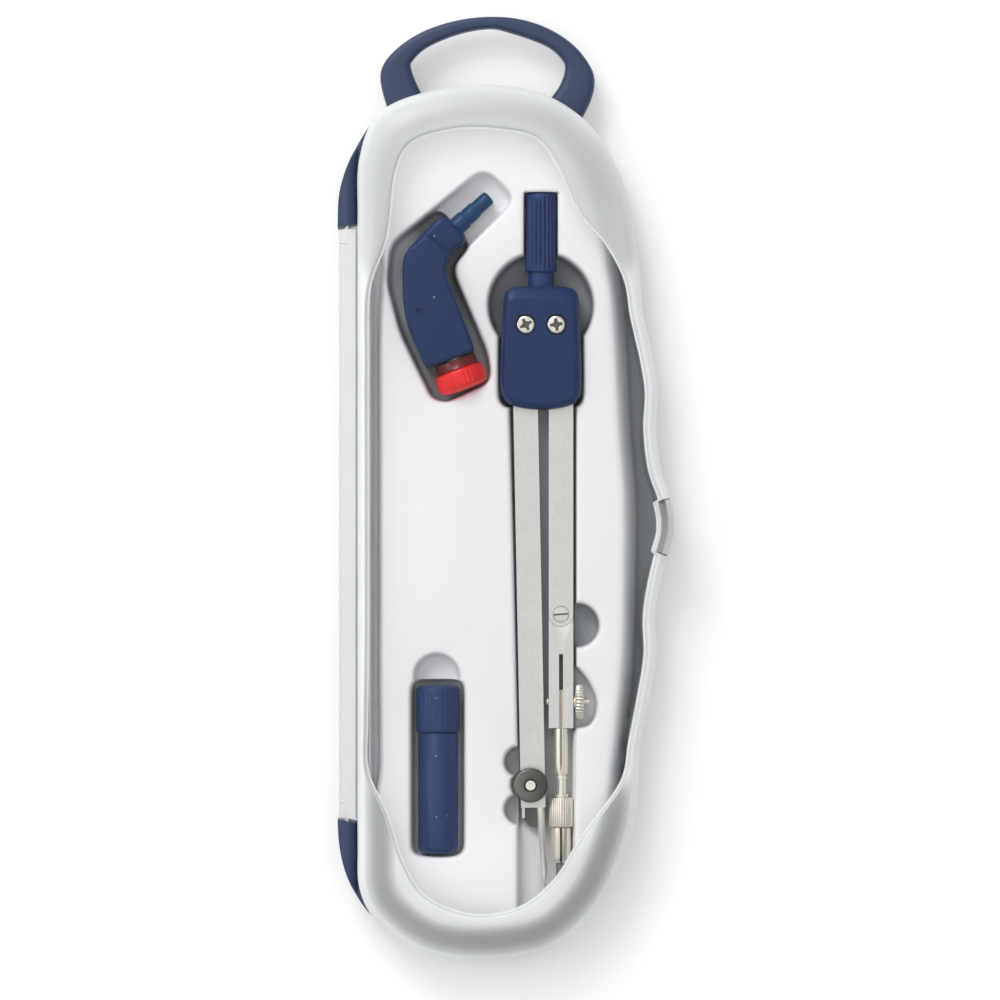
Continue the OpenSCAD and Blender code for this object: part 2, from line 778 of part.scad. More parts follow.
module adapter_body() {
    color(navy)
    difference() {
        union() {
            translate([0, 0, adapter_z - arm_t / 2])
                linear_extrude(arm_t)
                    adapter_arm_2d();
            translate([0, 0, adapter_z - 3.5])
                linear_extrude(7)
                    adapter_neck_2d();
            translate([-10.1, 52.1, adapter_z])
                rotate([0, 90, plug_angle]) {
                    translate([0, 0, -2])
                        cylinder(r = 1.9, h = 4.7);
                    translate([0, 0, 2.7])
                        cylinder(r = 1.7, h = 3);
                    translate([0, 0, 5.7])
                        cylinder(r = 1.5, h = 3.1);
                    translate([0, 0, 8.8])
                        cylinder(r1 = 1.5, r2 = 1.1, h = 0.5);
                }
        }
        translate([pen_at[0], pen_at[1], adapter_z])
            rotate([0, 90, plug_angle])
                translate([0, 0, -15])
                    cylinder(d = pen_d, h = 30);
        translate([arm_end[0], arm_end[1], adapter_z])
            rotate([90, 0, bend_angle])
                translate([0, 0, -10])
                    cylinder(r = adapter_screw_r + 0.05, h = 20);
    }
}

module adapter_clamp_screw() {
    color(steel)
    translate([arm_end[0], arm_end[1], adapter_z])
        rotate([90, 0, bend_angle])
            translate([0, 0, -4.2])
                cylinder(r = adapter_screw_r, h = 8);
}

module adapter_clamp_knob() {
    color([0.86, 0.22, 0.21])
    translate([arm_end[0], arm_end[1], adapter_z])
        rotate([90, 0, bend_angle])
            difference() {
                union() {
                    translate([0, 0, 0.3])
                        cylinder(r1 = clamp_knob_d / 2 - 0.7, r2 = clamp_knob_d / 2 - 0.2, h = 0.7);
                    translate([0, 0, 1])
                        ribbed_bar(clamp_knob_d / 2, 0.25, 32, 4.3);
                    translate([0, 0, 5.3])
                        cylinder(r1 = clamp_knob_d / 2 - 0.2, r2 = clamp_knob_d / 2 - 1, h = 0.8);
                }
                translate([0, 0, -1])
                    cylinder(r = adapter_screw_r, h = 4.8);
            }
}

module lead_case_tube() {
    color(navy)
    difference() {
        union() {
            bar_y(lead_case_x, lead_case_z, -72.2, cap_y - 0.05, tube_d / 2);
            cone_y(lead_case_x, lead_case_z, -73, -72.2, tube_d / 2 - 0.8, tube_d / 2);
            bar_y(lead_case_x, lead_case_z, cap_y - 1, cap_top - 2.1, spigot_r);
        }
        bar_y(lead_case_x, lead_case_z, -71.6, -40, 2.6);
    }
}

module lead_case_cap() {
    color(navy)
    difference() {
        union() {
            translate([lead_case_x, cap_top, lead_case_z])
                rotate([90, 0, 0])
                    ribbed_bar(cap_d / 2, 0.25, 24, cap_top - cap_y - 0.05);
            cone_y(lead_case_x, lead_case_z, cap_top, cap_top + 0.7, cap_d / 2 - 0.2, cap_d / 2 - 0.9);
        }
        bar_y(lead_case_x, lead_case_z, cap_y - 1, cap_top - 1.7, spigot_r + 0.06);
    }
}

module spare_leads() {
    color([0.25, 0.25, 0.26])
    for (i = [0:2])
        bar_y(lead_case_x + 1.25 * cos(120 * i + 30), lead_case_z + 1.25 * sin(120 * i + 30),
              -71.5, -43.5, lead_d / 2);
}

base_shell();
hinge_pins();
insert_tray();
lid();
latch_strap();
compass_grip();
head_front();
head_rear();
head_screws();
needle_leg();
lead_leg_upper();
lead_leg_lower();
knee_screw();
leg_clamp_screw();
leg_clamp_wheel();
lead_holder();
collet();
collet_nut();
drawing_lead();
needle();
needle_clamp_knob();
needle_clamp_screw();
adapter_body();
adapter_clamp_screw();
adapter_clamp_knob();
lead_case_tube();
lead_case_cap();
spare_leads();
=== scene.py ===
# %% [markdown]
# # A drafting instrument case
# The case is a navy tub with a carry loop. A clear lid with frosted shoulders is hinged to its long side,
# and a white formed liner holds a school compass, a pen adapter and a tube of spare leads.
# The solid model arrives first, as a frame that never moves. Each later step dresses one piece of it.

# %% Load the frame
import math

import bmesh
import bpy
import numpy as np
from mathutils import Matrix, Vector
from mathutils.geometry import delaunay_2d_cdt


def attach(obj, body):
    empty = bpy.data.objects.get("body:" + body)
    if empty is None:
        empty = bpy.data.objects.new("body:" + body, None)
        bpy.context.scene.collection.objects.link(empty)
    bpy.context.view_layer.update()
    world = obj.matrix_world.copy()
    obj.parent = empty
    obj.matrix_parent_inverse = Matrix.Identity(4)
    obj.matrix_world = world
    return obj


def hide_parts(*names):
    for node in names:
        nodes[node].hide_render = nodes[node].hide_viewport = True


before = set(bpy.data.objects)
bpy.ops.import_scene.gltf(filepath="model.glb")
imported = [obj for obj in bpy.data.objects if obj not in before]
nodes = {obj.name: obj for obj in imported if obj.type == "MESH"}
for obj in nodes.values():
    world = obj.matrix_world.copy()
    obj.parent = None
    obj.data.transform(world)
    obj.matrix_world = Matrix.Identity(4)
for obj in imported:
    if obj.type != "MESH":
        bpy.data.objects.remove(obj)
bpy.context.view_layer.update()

# %% [markdown]
# ## Curves
# The case has no straight outline: it is drawn through a few key points, as a modeller would bend a
# batten round pins. A Catmull-Rom curve passes through every pin, and it is worked out for all spans
# at once. All sizes below are millimetres until a mesh is made.

# %% Curves through points
MM = 0.001  # metres in a millimetre


def spans(a, b, c, d, steps):
    """The cubic between b and c whose slopes are half of c-a and half of d-b, sampled in each span."""
    t = (np.arange(steps) / steps)[None, :, None]
    a, b, c, d = (p[:, None] for p in (a, b, c, d))
    rows = b + (c - a) * t / 2 + (a - 2.5 * b + 2 * c - d / 2) * t**2 + (1.5 * (b - c) + (d - a) / 2) * t**3
    return rows.reshape(-1, b.shape[-1])


def ring_through(points, steps):
    """Closed curve through a ring of points."""
    p = np.asarray(points, float)
    return spans(np.roll(p, 1, 0), p, np.roll(p, -1, 0), np.roll(p, -2, 0), steps)


def row_through(points, steps):
    """Open curve through a row of points, ending on the last one."""
    p = np.asarray(points, float)
    q = np.vstack([p[:1], p, p[-1:]])
    return np.vstack([spans(q[:-3], q[1:-2], q[2:-1], q[3:], steps), p[-1:]])


def unit(v):
    """Each row divided by its length."""
    return v / np.linalg.norm(v, axis=-1, keepdims=True)


def inward(ring, d):
    """A clockwise ring moved inwards by d, square to the chord through each point's neighbours."""
    along = unit(np.roll(ring, -1, 0) - np.roll(ring, 1, 0))
    return ring + np.asarray(d)[..., None] * np.stack([along[:, 1], -along[:, 0]], -1)


def softened(points, radius, steps=4, closed=True):
    """Each corner swapped for a parabola that starts and ends a radius away along the two sides."""
    p = np.asarray(points, float)
    before, after = np.roll(p, 1, 0) - p, np.roll(p, -1, 0) - p
    near = np.minimum(np.linalg.norm(before, axis=1), np.linalg.norm(after, axis=1))
    r = np.minimum(radius, 0.48 * near)[:, None]
    start, end = p + unit(before) * r, p + unit(after) * r
    t = np.linspace(0, 1, steps + 1)[None, :, None]
    arcs = start[:, None] * (1 - t) ** 2 + 2 * p[:, None] * t * (1 - t) + end[:, None] * t**2
    if closed:
        return arcs.reshape(-1, p.shape[1])
    return np.vstack([p[:1], arcs[1:-1].reshape(-1, p.shape[1]), p[-1:]])


def at_height(ring, z):
    """A flat ring given one height, or a height for each point."""
    return np.column_stack([ring, np.broadcast_to(z, len(ring))])


print("four pins, eight steps each:", len(ring_through([[0, 0], [0, 1], [1, 1], [1, 0]], 8)), "points")

# %% [markdown]
# ## Surfaces
# Nearly every piece is a stack of rings: a row of points that is carried through space and joined to the
# next row by quads. Each end closes on a pole, so the skin is watertight. Its signed volume, summed over
# all triangles, tells whether the faces look outwards, and the whole skin is turned round if they don't.

# %% Stacks of rings
def outward(shell):
    """The shell with its faces turned to look outwards, judged by the volume that they enclose."""
    verts, quads, tris = shell
    t = np.vstack([quads[:, [0, 1, 2]], quads[:, [0, 2, 3]], tris])
    a, b, c = (verts[t[:, k]] - verts.mean(0) for k in range(3))
    if np.einsum("ij,ij->", a, np.cross(b, c)) < 0:
        quads, tris = quads[:, ::-1], tris[:, ::-1]
    return verts, quads, tris


def stack(rings, low=None, high=None):
    """Rings (m, n, 3) joined one to the next, and each end closed on a pole, by default its middle."""
    rings = np.asarray(rings, float)
    m, n = rings.shape[:2]
    low = rings[0].mean(0) if low is None else low
    high = rings[-1].mean(0) if high is None else high
    verts = np.vstack([rings.reshape(-1, 3), low, high])
    i, j = np.meshgrid(np.arange(m - 1), np.arange(n), indexing="ij")
    k = (j + 1) % n
    quads = np.stack([i * n + j, i * n + k, (i + 1) * n + k, (i + 1) * n + j], -1).reshape(-1, 4)
    j = np.arange(n)
    k = (j + 1) % n
    first = np.stack([np.full(n, m * n), k, j], -1)
    last = np.stack([np.full(n, m * n + 1), (m - 1) * n + j, (m - 1) * n + k], -1)
    return outward((verts, quads, np.vstack([first, last])))


def together(*shells):
    """Several closed shells as one."""
    starts = np.cumsum([0] + [len(s[0]) for s in shells[:-1]])
    return (np.vstack([s[0] for s in shells]),
            np.vstack([s[1] + at for s, at in zip(shells, starts)]),
            np.vstack([s[2] + at for s, at in zip(shells, starts)]))


box = stack([at_height([[0, 0], [0, 1], [1, 1], [1, 0]], z) for z in (0, 1)])
print("a box of two rings:", len(box[0]), "points with its two poles")

# %% [markdown]
# Turned parts and knurled grips are lathes. A relief is a function of angle and height that says how much
# is taken off the radius, so that ribs, knurls and slots are part of the same formula as the shape.

# %% Lathes
def frame_of(axis):
    """Two unit vectors square to an axis, and the axis itself."""
    w = unit(np.asarray(axis, float))
    helper = np.array([0, 0, 1.0]) if abs(w[2]) < 0.9 else np.array([0, 1.0, 0])
    u = unit(np.cross(helper, w))
    return u, np.cross(w, u), w


def turned(profile, centre, axis, sides=48, relief=None):
    """A lathe: each (height, radius) of the profile is carried round the axis.
    relief(angle, height) is what is taken off the radius."""
    u, v, w = frame_of(axis)
    h, r = np.asarray(profile, float).T
    angle = np.linspace(0, 2 * np.pi, sides, endpoint=False)
    radius = np.repeat(r[:, None], sides, 1)
    if relief is not None:
        radius = radius - relief(angle[None, :], h[:, None])
    around = np.cos(angle)[:, None] * u + np.sin(angle)[:, None] * v
    return stack(np.asarray(centre, float) + h[:, None, None] * w + radius[..., None] * around[None])


def sunk_values(profile, sides, relief, depth):
    """How deep each point of a lathe lies in its relief, 0 to 1, for the painted shade and grime to read."""
    h = np.asarray(profile, float)[:, :1]
    angle = np.linspace(0, 2 * np.pi, sides, endpoint=False)[None]
    values = np.broadcast_to(relief(angle, h) / depth, (len(h), sides))
    return {"sunk": np.append(values.ravel(), [0, 0])}


def ribs(count, depth, start, end, blend=0.3, sharp=3.0):
    """Relief of a grip: count grooves round the axis, between two heights, fading over blend."""
    def relief(angle, height):
        """Depth times a cosine wave round the axis, raised to the power sharp, times the fade."""
        wave = 0.5 + 0.5 * np.cos(count * angle)
        fade = np.clip((height - start) / blend, 0, 1) * np.clip((end - height) / blend, 0, 1)
        return depth * wave**sharp * fade
    return relief


drum = turned([(0, 1), (1, 1)], (0, 0, 0), (0, 0, 1), 12)
print("a drum with twelve sides:", len(drum[0]), "points with its two poles")

# %% [markdown]
# ## Making pieces
# A piece is a mesh, a finish, the body that it rides on and the solids that it stands for. Shading is
# smooth, and only edges sharper than a set angle stay crisp.

# %% Make a piece
def finish_mesh(ob, body, stands_for, crisp):
    """Smooth shading with crisp edges, the body to ride on and the solids replaced."""
    mesh = ob.data
    mesh.polygons.foreach_set("use_smooth", np.ones(len(mesh.polygons), bool))
    mesh.set_sharp_from_angle(angle=math.radians(crisp))
    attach(ob, body)
    if stands_for:
        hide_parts(*stands_for)
    print(f"{ob.name}: {len(mesh.vertices)} points, {len(mesh.polygons)} faces")
    return ob


def piece(name, shell, body, material, stands_for=(), crisp=38, faces=None, values=None):
    """A new piece. faces picks a material for each face, and values are named numbers for each point."""
    verts, quads, tris = shell
    mesh = bpy.data.meshes.new(name)
    mesh.from_pydata((verts * MM).tolist(), [], quads.tolist() + tris.tolist())
    for finish in material if isinstance(material, (list, tuple)) else [material]:
        mesh.materials.append(finish)
    if faces is not None:
        mesh.polygons.foreach_set("material_index", np.asarray(faces, np.int32))
    for key, numbers in (values or {}).items():
        layer = mesh.attributes.new(key, "FLOAT", "POINT")
        layer.data.foreach_set("value", np.asarray(numbers, np.float32))
    mesh.validate()
    mesh.update()
    ob = bpy.data.objects.new(name, mesh)
    bpy.context.scene.collection.objects.link(ob)
    return finish_mesh(ob, body, stands_for, crisp)


print("pieces can be made")

# %% [markdown]
# A flat metal bar is already exact in the solid model. Its loose triangles are welded into whole faces
# before a hair-thin bevel rounds the edges, and a piece with a recess is cut with a closed shell.

# %% Copy a solid and cut a recess
def bevelled_copy(node, name, body, material, width, crisp=35, segments=2):
    """A solid's own mesh, welded, its flat faces joined, and its edges rounded by width."""
    bm = bmesh.new()
    bm.from_mesh(nodes[node].data)
    bmesh.ops.remove_doubles(bm, verts=bm.verts, dist=1e-6)
    bmesh.ops.dissolve_limit(bm, angle_limit=math.radians(1), verts=bm.verts, edges=bm.edges)
    mesh = bpy.data.meshes.new(name)
    bm.to_mesh(mesh)
    bm.free()
    mesh.materials.clear()
    mesh.materials.append(material)
    ob = bpy.data.objects.new(name, mesh)
    bpy.context.scene.collection.objects.link(ob)
    finish_mesh(ob, body, (node,), crisp)
    if width:
        bevel = ob.modifiers.new("bevel", "BEVEL")
        bevel.width = width * MM
        bevel.segments = segments
        bevel.limit_method = "ANGLE"
        bevel.angle_limit = math.radians(crisp)
        bevel.use_clamp_overlap = True
    return ob


def cut(ob, cutters, crisp=35):
    """Closed shells taken out of a piece with an exact Boolean, which is applied at once."""
    mesh = bpy.data.meshes.new("cutter")
    verts, quads, tris = together(*cutters)
    mesh.from_pydata((verts * MM).tolist(), [], quads.tolist() + tris.tolist())
    cutter = bpy.data.objects.new("cutter", mesh)
    bpy.context.scene.collection.objects.link(cutter)
    boolean = ob.modifiers.new("cut", "BOOLEAN")
    boolean.operation = "DIFFERENCE"
    boolean.solver = "EXACT"
    boolean.object = cutter
    graph = bpy.context.evaluated_depsgraph_get()
    new = bpy.data.meshes.new_from_object(ob.evaluated_get(graph))
    ob.modifiers.remove(boolean)
    old, ob.data = ob.data, new
    bpy.data.meshes.remove(old)
    bpy.data.objects.remove(cutter)
    new.name = ob.name
    new.polygons.foreach_set("use_smooth", np.ones(len(new.polygons), bool))
    new.set_sharp_from_angle(angle=math.radians(crisp))


print("bars can be copied, and recesses cut")

# %% [markdown]
# ## Finishes shared by several materials
# Moulded plastic is never one flat colour: it has a fine grain, slow changes of gloss and a few specks of
# dust. Drawn or turned metal has streaks along one direction. Each effect is a node group with named
# sockets, built once, and every material sets its own values.

# %% Node groups
def group(name, inputs, outputs):
    """An empty shader group with named sockets: (tree, input node, output node)."""
    tree = bpy.data.node_groups.new(name, "ShaderNodeTree")
    for key, kind, default in inputs:
        socket = tree.interface.new_socket(key, in_out="INPUT", socket_type=kind)
        socket.default_value = default
    for key, kind in outputs:
        tree.interface.new_socket(key, in_out="OUTPUT", socket_type=kind)
    return tree, tree.nodes.new("NodeGroupInput"), tree.nodes.new("NodeGroupOutput")


def add(tree, kind, links=(), **settings):
    """A node with its settings, and (socket, source) links into it. A source may be a plain value."""
    made = tree.nodes.new(kind)
    for key, value in settings.items():
        setattr(made, key, value)
    for key, source in links:
        if isinstance(source, bpy.types.NodeSocket):
            tree.links.new(source, made.inputs[key])
        else:
            made.inputs[key].default_value = source
    return made


def maths(tree, operation, a, b, clamp=False):
    """The result socket of one Math node."""
    return add(tree, "ShaderNodeMath", [(0, a), (1, b)], operation=operation, use_clamp=clamp).outputs[0]


COLOUR, NUMBER, VECTOR = "NodeSocketColor", "NodeSocketFloat", "NodeSocketVector"


def build_moulded_skin():
    """Grain, slow gloss changes and mottling of a moulded part."""
    tree, given, result = group(
        "moulded_skin",
        [("Colour", COLOUR, (0.5, 0.5, 0.5, 1)), ("Mottle", NUMBER, 0.1), ("Grain", NUMBER, 2500),
         ("Gloss", NUMBER, 0.4), ("Gloss change", NUMBER, 0.1)],
        [("Colour", COLOUR), ("Roughness", NUMBER), ("Height", NUMBER)])
    place = add(tree, "ShaderNodeTexCoord").outputs["Object"]
    fine = add(tree, "ShaderNodeTexNoise", [("Vector", place), ("Scale", given.outputs["Grain"]),
                                            ("Detail", 3.0)]).outputs["Fac"]
    slow = add(tree, "ShaderNodeTexNoise", [("Vector", place), ("Scale", 90.0),
                                            ("Detail", 4.0)]).outputs["Fac"]
    both = maths(tree, "ADD", maths(tree, "MULTIPLY", slow, 0.8), maths(tree, "MULTIPLY", fine, 0.2))
    value = maths(tree, "ADD", 1.0, maths(tree, "MULTIPLY", maths(tree, "SUBTRACT", both, 0.5),
                                          given.outputs["Mottle"]))
    tint = add(tree, "ShaderNodeHueSaturation", [("Value", value), ("Color", given.outputs["Colour"])])
    change = maths(tree, "MULTIPLY", maths(tree, "SUBTRACT", slow, 0.5), given.outputs["Gloss change"])
    rough = maths(tree, "ADD", given.outputs["Gloss"], change, True)
    for key, source in (("Colour", tint.outputs[0]), ("Roughness", rough), ("Height", fine)):
        tree.links.new(source, result.inputs[key])
    return tree


def build_metal_streaks():
    """Streaks of a brushed, drawn or turned metal: noise squeezed along the brushing direction."""
    tree, given, result = group(
        "metal_streaks",
        [("Colour", COLOUR, (0.8, 0.8, 0.8, 1)), ("Stretch", VECTOR, (3000, 60, 3000)),
         ("Contrast", NUMBER, 0.15), ("Gloss", NUMBER, 0.3), ("Gloss change", NUMBER, 0.15)],
        [("Colour", COLOUR), ("Roughness", NUMBER), ("Height", NUMBER)])
    place = add(tree, "ShaderNodeTexCoord").outputs["Object"]
    squeezed = add(tree, "ShaderNodeVectorMath", [(0, place), (1, given.outputs["Stretch"])],
                   operation="MULTIPLY").outputs[0]
    streak = add(tree, "ShaderNodeTexNoise", [("Vector", squeezed), ("Scale", 1.0),
                                              ("Detail", 3.0)]).outputs["Fac"]
    cloud = add(tree, "ShaderNodeTexNoise", [("Vector", place), ("Scale", 220.0),
                                             ("Detail", 3.0)]).outputs["Fac"]
    both = maths(tree, "ADD", maths(tree, "MULTIPLY", streak, 0.65), maths(tree, "MULTIPLY", cloud, 0.35))
    centred = maths(tree, "SUBTRACT", both, 0.5)
    value = maths(tree, "ADD", 1.0, maths(tree, "MULTIPLY", centred, given.outputs["Contrast"]))
    tint = add(tree, "ShaderNodeHueSaturation", [("Value", value), ("Color", given.outputs["Colour"])])
    rough = maths(tree, "ADD", given.outputs["Gloss"],
                  maths(tree, "MULTIPLY", centred, given.outputs["Gloss change"]), True)
    for key, source in (("Colour", tint.outputs[0]), ("Roughness", rough), ("Height", streak)):
        tree.links.new(source, result.inputs[key])
    return tree


def build_dust():
    """A few pale specks: the nearest points of a scattered grid, kept where its cell's number is high."""
    tree, given, result = group("dust", [("Spacing", NUMBER, 350), ("Amount", NUMBER, 0.3)],
                                [("Mask", NUMBER)])
    place = add(tree, "ShaderNodeTexCoord").outputs["Object"]
    cells = add(tree, "ShaderNodeTexVoronoi", [("Vector", place), ("Scale", given.outputs["Spacing"])])
    near = maths(tree, "LESS_THAN", cells.outputs["Distance"], 0.075)
    pick = add(tree, "ShaderNodeSeparateColor", [(0, cells.outputs["Color"])]).outputs[0]
    kept = maths(tree, "LESS_THAN", pick, given.outputs["Amount"])
    tree.links.new(maths(tree, "MULTIPLY", near, kept), result.inputs["Mask"])
    return tree


GROUPS = {"skin": build_moulded_skin(), "streaks": build_metal_streaks(), "dust": build_dust()}
print("node groups:", ", ".join(GROUPS))

# %% [markdown]
# ## Materials
# A colour is written as it looks on a screen, 0 to 255, and turned into the linear value that a shader
# works with. Values that are the same all over a surface sit on the shader's own sockets.

# %% Material helpers
def linear(rgb):
    """Screen colour, 0 to 255, as linear light with an alpha of 1."""
    c = np.asarray(rgb, float) / 255
    return (*np.where(c <= 0.04045, c / 12.92, ((c + 0.055) / 1.055) ** 2.4).tolist(), 1.0)


# Colour of the painted shade, with grime, in grooves and other shaded places.
SHADE = linear((22, 22, 24))
DUST = linear((150, 158, 172))


def shader(name, **fixed):
    """A material with one Principled BSDF: (material, tree, shader). fixed sets its sockets."""
    material = bpy.data.materials.new(name)
    material.use_nodes = True
    tree = material.node_tree
    principled = tree.nodes["Principled BSDF"]
    for key, value in fixed.items():
        principled.inputs[key.replace("_", " ")].default_value = value
    return material, tree, principled


def placed(tree, key, links):
    """A shared group placed in a material, with its own values."""
    made = tree.nodes.new("ShaderNodeGroup")
    made.node_tree = GROUPS[key]
    for socket, source in links:
        if isinstance(source, bpy.types.NodeSocket):
            tree.links.new(source, made.inputs[socket])
        else:
            made.inputs[socket].default_value = source
    return made


def bumped(tree, principled, height, strength, distance):
    """A Bump node between a height and the shader's normal."""
    bump = add(tree, "ShaderNodeBump", [("Strength", strength), ("Distance", distance), ("Height", height)])
    tree.links.new(bump.outputs[0], principled.inputs["Normal"])


def ramp(tree, source, stops):
    """A colour ramp with (place, screen colour) stops."""
    made = add(tree, "ShaderNodeValToRGB", [("Fac", source)])
    elements = made.color_ramp.elements
    while len(elements) < len(stops):
        elements.new(0.5)
    for element, (at, rgb) in zip(elements, stops):
        element.position = at
        element.color = linear(rgb)
    return made.outputs["Color"]


def grime_and_painted_shade(tree, colour, share=0.7):
    """Painted shade and grime in grooves: the colour loses a share where the attribute "sunk" is 1."""
    sunk = add(tree, "ShaderNodeAttribute", attribute_name="sunk").outputs["Fac"]
    mix = add(tree, "ShaderNodeMix", [("Factor", maths(tree, "MULTIPLY", sunk, share))], data_type="RGBA")
    tree.links.new(colour, mix.inputs["A"])
    mix.inputs["B"].default_value = SHADE
    return mix.outputs["Result"]


print("screen grey 128 as linear light:", round(linear((128, 128, 128))[0], 3))

# %% [markdown]
# Two kinds of material cover most of the object. Both darken in grooves, by a number that the piece carries
# at every point: grime, and painted shade.

# %% Moulded plastic and metal
def moulded(name, rgb, gloss, mottle=0.12, grain=2600, bump=0.12, dust=0.0, **fixed):
    """Moulded plastic with grain, and dust where it shows."""
    material, tree, principled = shader(name, **fixed)
    skin = placed(tree, "skin", [("Colour", linear(rgb)), ("Mottle", mottle), ("Grain", grain),
                                 ("Gloss", gloss), ("Gloss change", 0.18)])
    colour = skin.outputs["Colour"]
    if dust:
        specks = placed(tree, "dust", [("Spacing", 420.0), ("Amount", dust)])
        mix = add(tree, "ShaderNodeMix", [("Factor", specks.outputs[0])], data_type="RGBA")
        tree.links.new(colour, mix.inputs["A"])
        mix.inputs["B"].default_value = DUST
        colour = mix.outputs["Result"]
    tree.links.new(grime_and_painted_shade(tree, colour), principled.inputs["Base Color"])
    tree.links.new(skin.outputs["Roughness"], principled.inputs["Roughness"])
    bumped(tree, principled, skin.outputs["Height"], bump, 0.00005)
    return material


def metal(name, rgb, gloss, stretch, contrast=0.2, bump=0.15, metallic=1.0):
    """Bare or plated metal with streaks along its working direction."""
    material, tree, principled = shader(name, Metallic=metallic)
    streaks = placed(tree, "streaks", [("Colour", linear(rgb)), ("Stretch", stretch), ("Contrast", contrast),
                                       ("Gloss", gloss), ("Gloss change", 0.2)])
    tree.links.new(grime_and_painted_shade(tree, streaks.outputs["Colour"]), principled.inputs["Base Color"])
    tree.links.new(streaks.outputs["Roughness"], principled.inputs["Roughness"])
    bumped(tree, principled, streaks.outputs["Height"], bump, 0.00003)
    return material


print("two kinds of finish: moulded and metal")

# %% [markdown]
# The lid is one clear moulding. Its shoulders are etched, so they scatter light and look milky, and its
# window is polished. A thin clear sheet shows mostly at a slant, so its opacity follows the angle.

# %% Frosted and clear plastic
def frosted_material():
    """Milky, half-clear plastic with painted light and shade from the rim to the crest: a painted bright rim
    edge, a painted shaded middle band, a painted highlight on the crest and a painted dark line at the
    crease.
    Light passes through it better than the eye does, so it is thinner for shadow rays."""
    material, tree, principled = shader("frosted_lid", IOR=1.49, Specular_IOR_Level=0.5, Sheen_Weight=0.25,
                                        Sheen_Roughness=0.4)
    across = add(tree, "ShaderNodeAttribute", attribute_name="across").outputs["Fac"]
    place = add(tree, "ShaderNodeTexCoord").outputs["Object"]
    cloud = add(tree, "ShaderNodeTexNoise", [("Vector", place), ("Scale", 45.0),
                                             ("Detail", 2.0)]).outputs["Fac"]
    shifted = maths(tree, "ADD", across, maths(tree, "MULTIPLY", maths(tree, "SUBTRACT", cloud, 0.5), 0.04))
    # Painted greys along "across": bright rim edge, shaded middle band, highlight on the crest, dark line at
    # the crease.
    painted_greys = [(0.0, 255), (0.13, 255), (0.18, 232), (0.24, 212), (0.32, 189), (0.4, 177), (0.52, 174),
             (0.6, 184), (0.68, 206), (0.77, 238), (0.81, 246), (0.87, 200), (0.93, 240)]
    tone = ramp(tree, shifted, [(at, (grey - 2, grey, grey + 1)) for at, grey in painted_greys])
    skin = placed(tree, "skin", [("Colour", tone), ("Mottle", 0.24), ("Grain", 3400.0),
                                 ("Gloss", 0.36), ("Gloss change", 0.1)])
    tree.links.new(skin.outputs["Colour"], principled.inputs["Base Color"])
    tree.links.new(skin.outputs["Roughness"], principled.inputs["Roughness"])
    shadow = add(tree, "ShaderNodeLightPath").outputs["Is Shadow Ray"]
    opacity = maths(tree, "SUBTRACT", 0.78, maths(tree, "MULTIPLY", shadow, 0.6))
    tree.links.new(opacity, principled.inputs["Alpha"])
    bumped(tree, principled, skin.outputs["Height"], 0.3, 0.00005)
    return material


def window_material():
    """Polished clear sheet: nearly invisible face on, and a mirror at a slant."""
    material, tree, principled = shader("clear_window", IOR=1.49, Roughness=0.05, Specular_IOR_Level=0.6,
                                        Base_Color=linear((244, 246, 248)))
    slant = add(tree, "ShaderNodeLayerWeight", [("Blend", 0.1)]).outputs["Fresnel"]
    opacity = maths(tree, "ADD", maths(tree, "MULTIPLY", slant, 0.9), 0.002, True)
    tree.links.new(opacity, principled.inputs["Alpha"])
    skin = placed(tree, "skin", [("Grain", 500.0), ("Gloss", 0.05), ("Gloss change", 0.05)])
    bumped(tree, principled, skin.outputs["Height"], 0.02, 0.00005)
    return material


frosted = frosted_material()
window = window_material()
print("lid:", frosted.name, "and", window.name)

# %% [markdown]
# The liner is a thin white sheet formed over the dark tub, and each moulded part has its own navy: they
# come from different batches and tools, and differ in depth and gloss.

# %% Liner and coloured plastics
def liner_material():
    """Thin white sheet with painted shade: its colour darkens as the tone falls, which is low in deep places.
    """
    material, tree, principled = shader("liner_sheet", Specular_IOR_Level=0.3)
    tone = add(tree, "ShaderNodeAttribute", attribute_name="tone").outputs["Fac"]
    colour = ramp(tree, tone, [(0.0, (120, 122, 124)), (0.25, (150, 153, 156)), (0.5, (184, 186, 189)),
                               (0.75, (226, 227, 228)), (1.0, (252, 252, 253))])
    skin = placed(tree, "skin", [("Colour", colour), ("Mottle", 0.04), ("Grain", 1500.0),
                                 ("Gloss", 0.55), ("Gloss change", 0.1)])
    tree.links.new(skin.outputs["Colour"], principled.inputs["Base Color"])
    tree.links.new(skin.outputs["Roughness"], principled.inputs["Roughness"])
    bumped(tree, principled, skin.outputs["Height"], 0.1, 0.00005)
    return material


liner = liner_material()
milky = moulded("milky_hinge", (219, 220, 221), 0.38, mottle=0.04, bump=0.1)
case_navy = moulded("case_navy", (42, 60, 92), 0.46, mottle=0.16, grain=2200, bump=0.2)
head_navy = moulded("head_navy", (16, 44, 90), 0.34, mottle=0.18, grain=1800, bump=0.08, dust=0.05,
                    Specular_IOR_Level=0.3)
grip_navy = moulded("grip_navy", (29, 55, 105), 0.42, mottle=0.15, bump=0.1, Specular_IOR_Level=0.35)
adapter_navy = moulded("adapter_navy", (22, 48, 92), 0.36, mottle=0.3, grain=1500, bump=0.1, dust=0.12,
                       Specular_IOR_Level=0.28)
plug_navy = moulded("plug_navy", (28, 64, 107), 0.34, mottle=0.15, bump=0.08, Specular_IOR_Level=0.28)
tube_navy = moulded("tube_navy", (38, 60, 102), 0.34, mottle=0.15, grain=1800, bump=0.08, dust=0.3,
                    Specular_IOR_Level=0.3)
clamp_red = moulded("clamp_red", (236, 30, 28), 0.3, mottle=0.14, bump=0.08)
print("plastics ready")
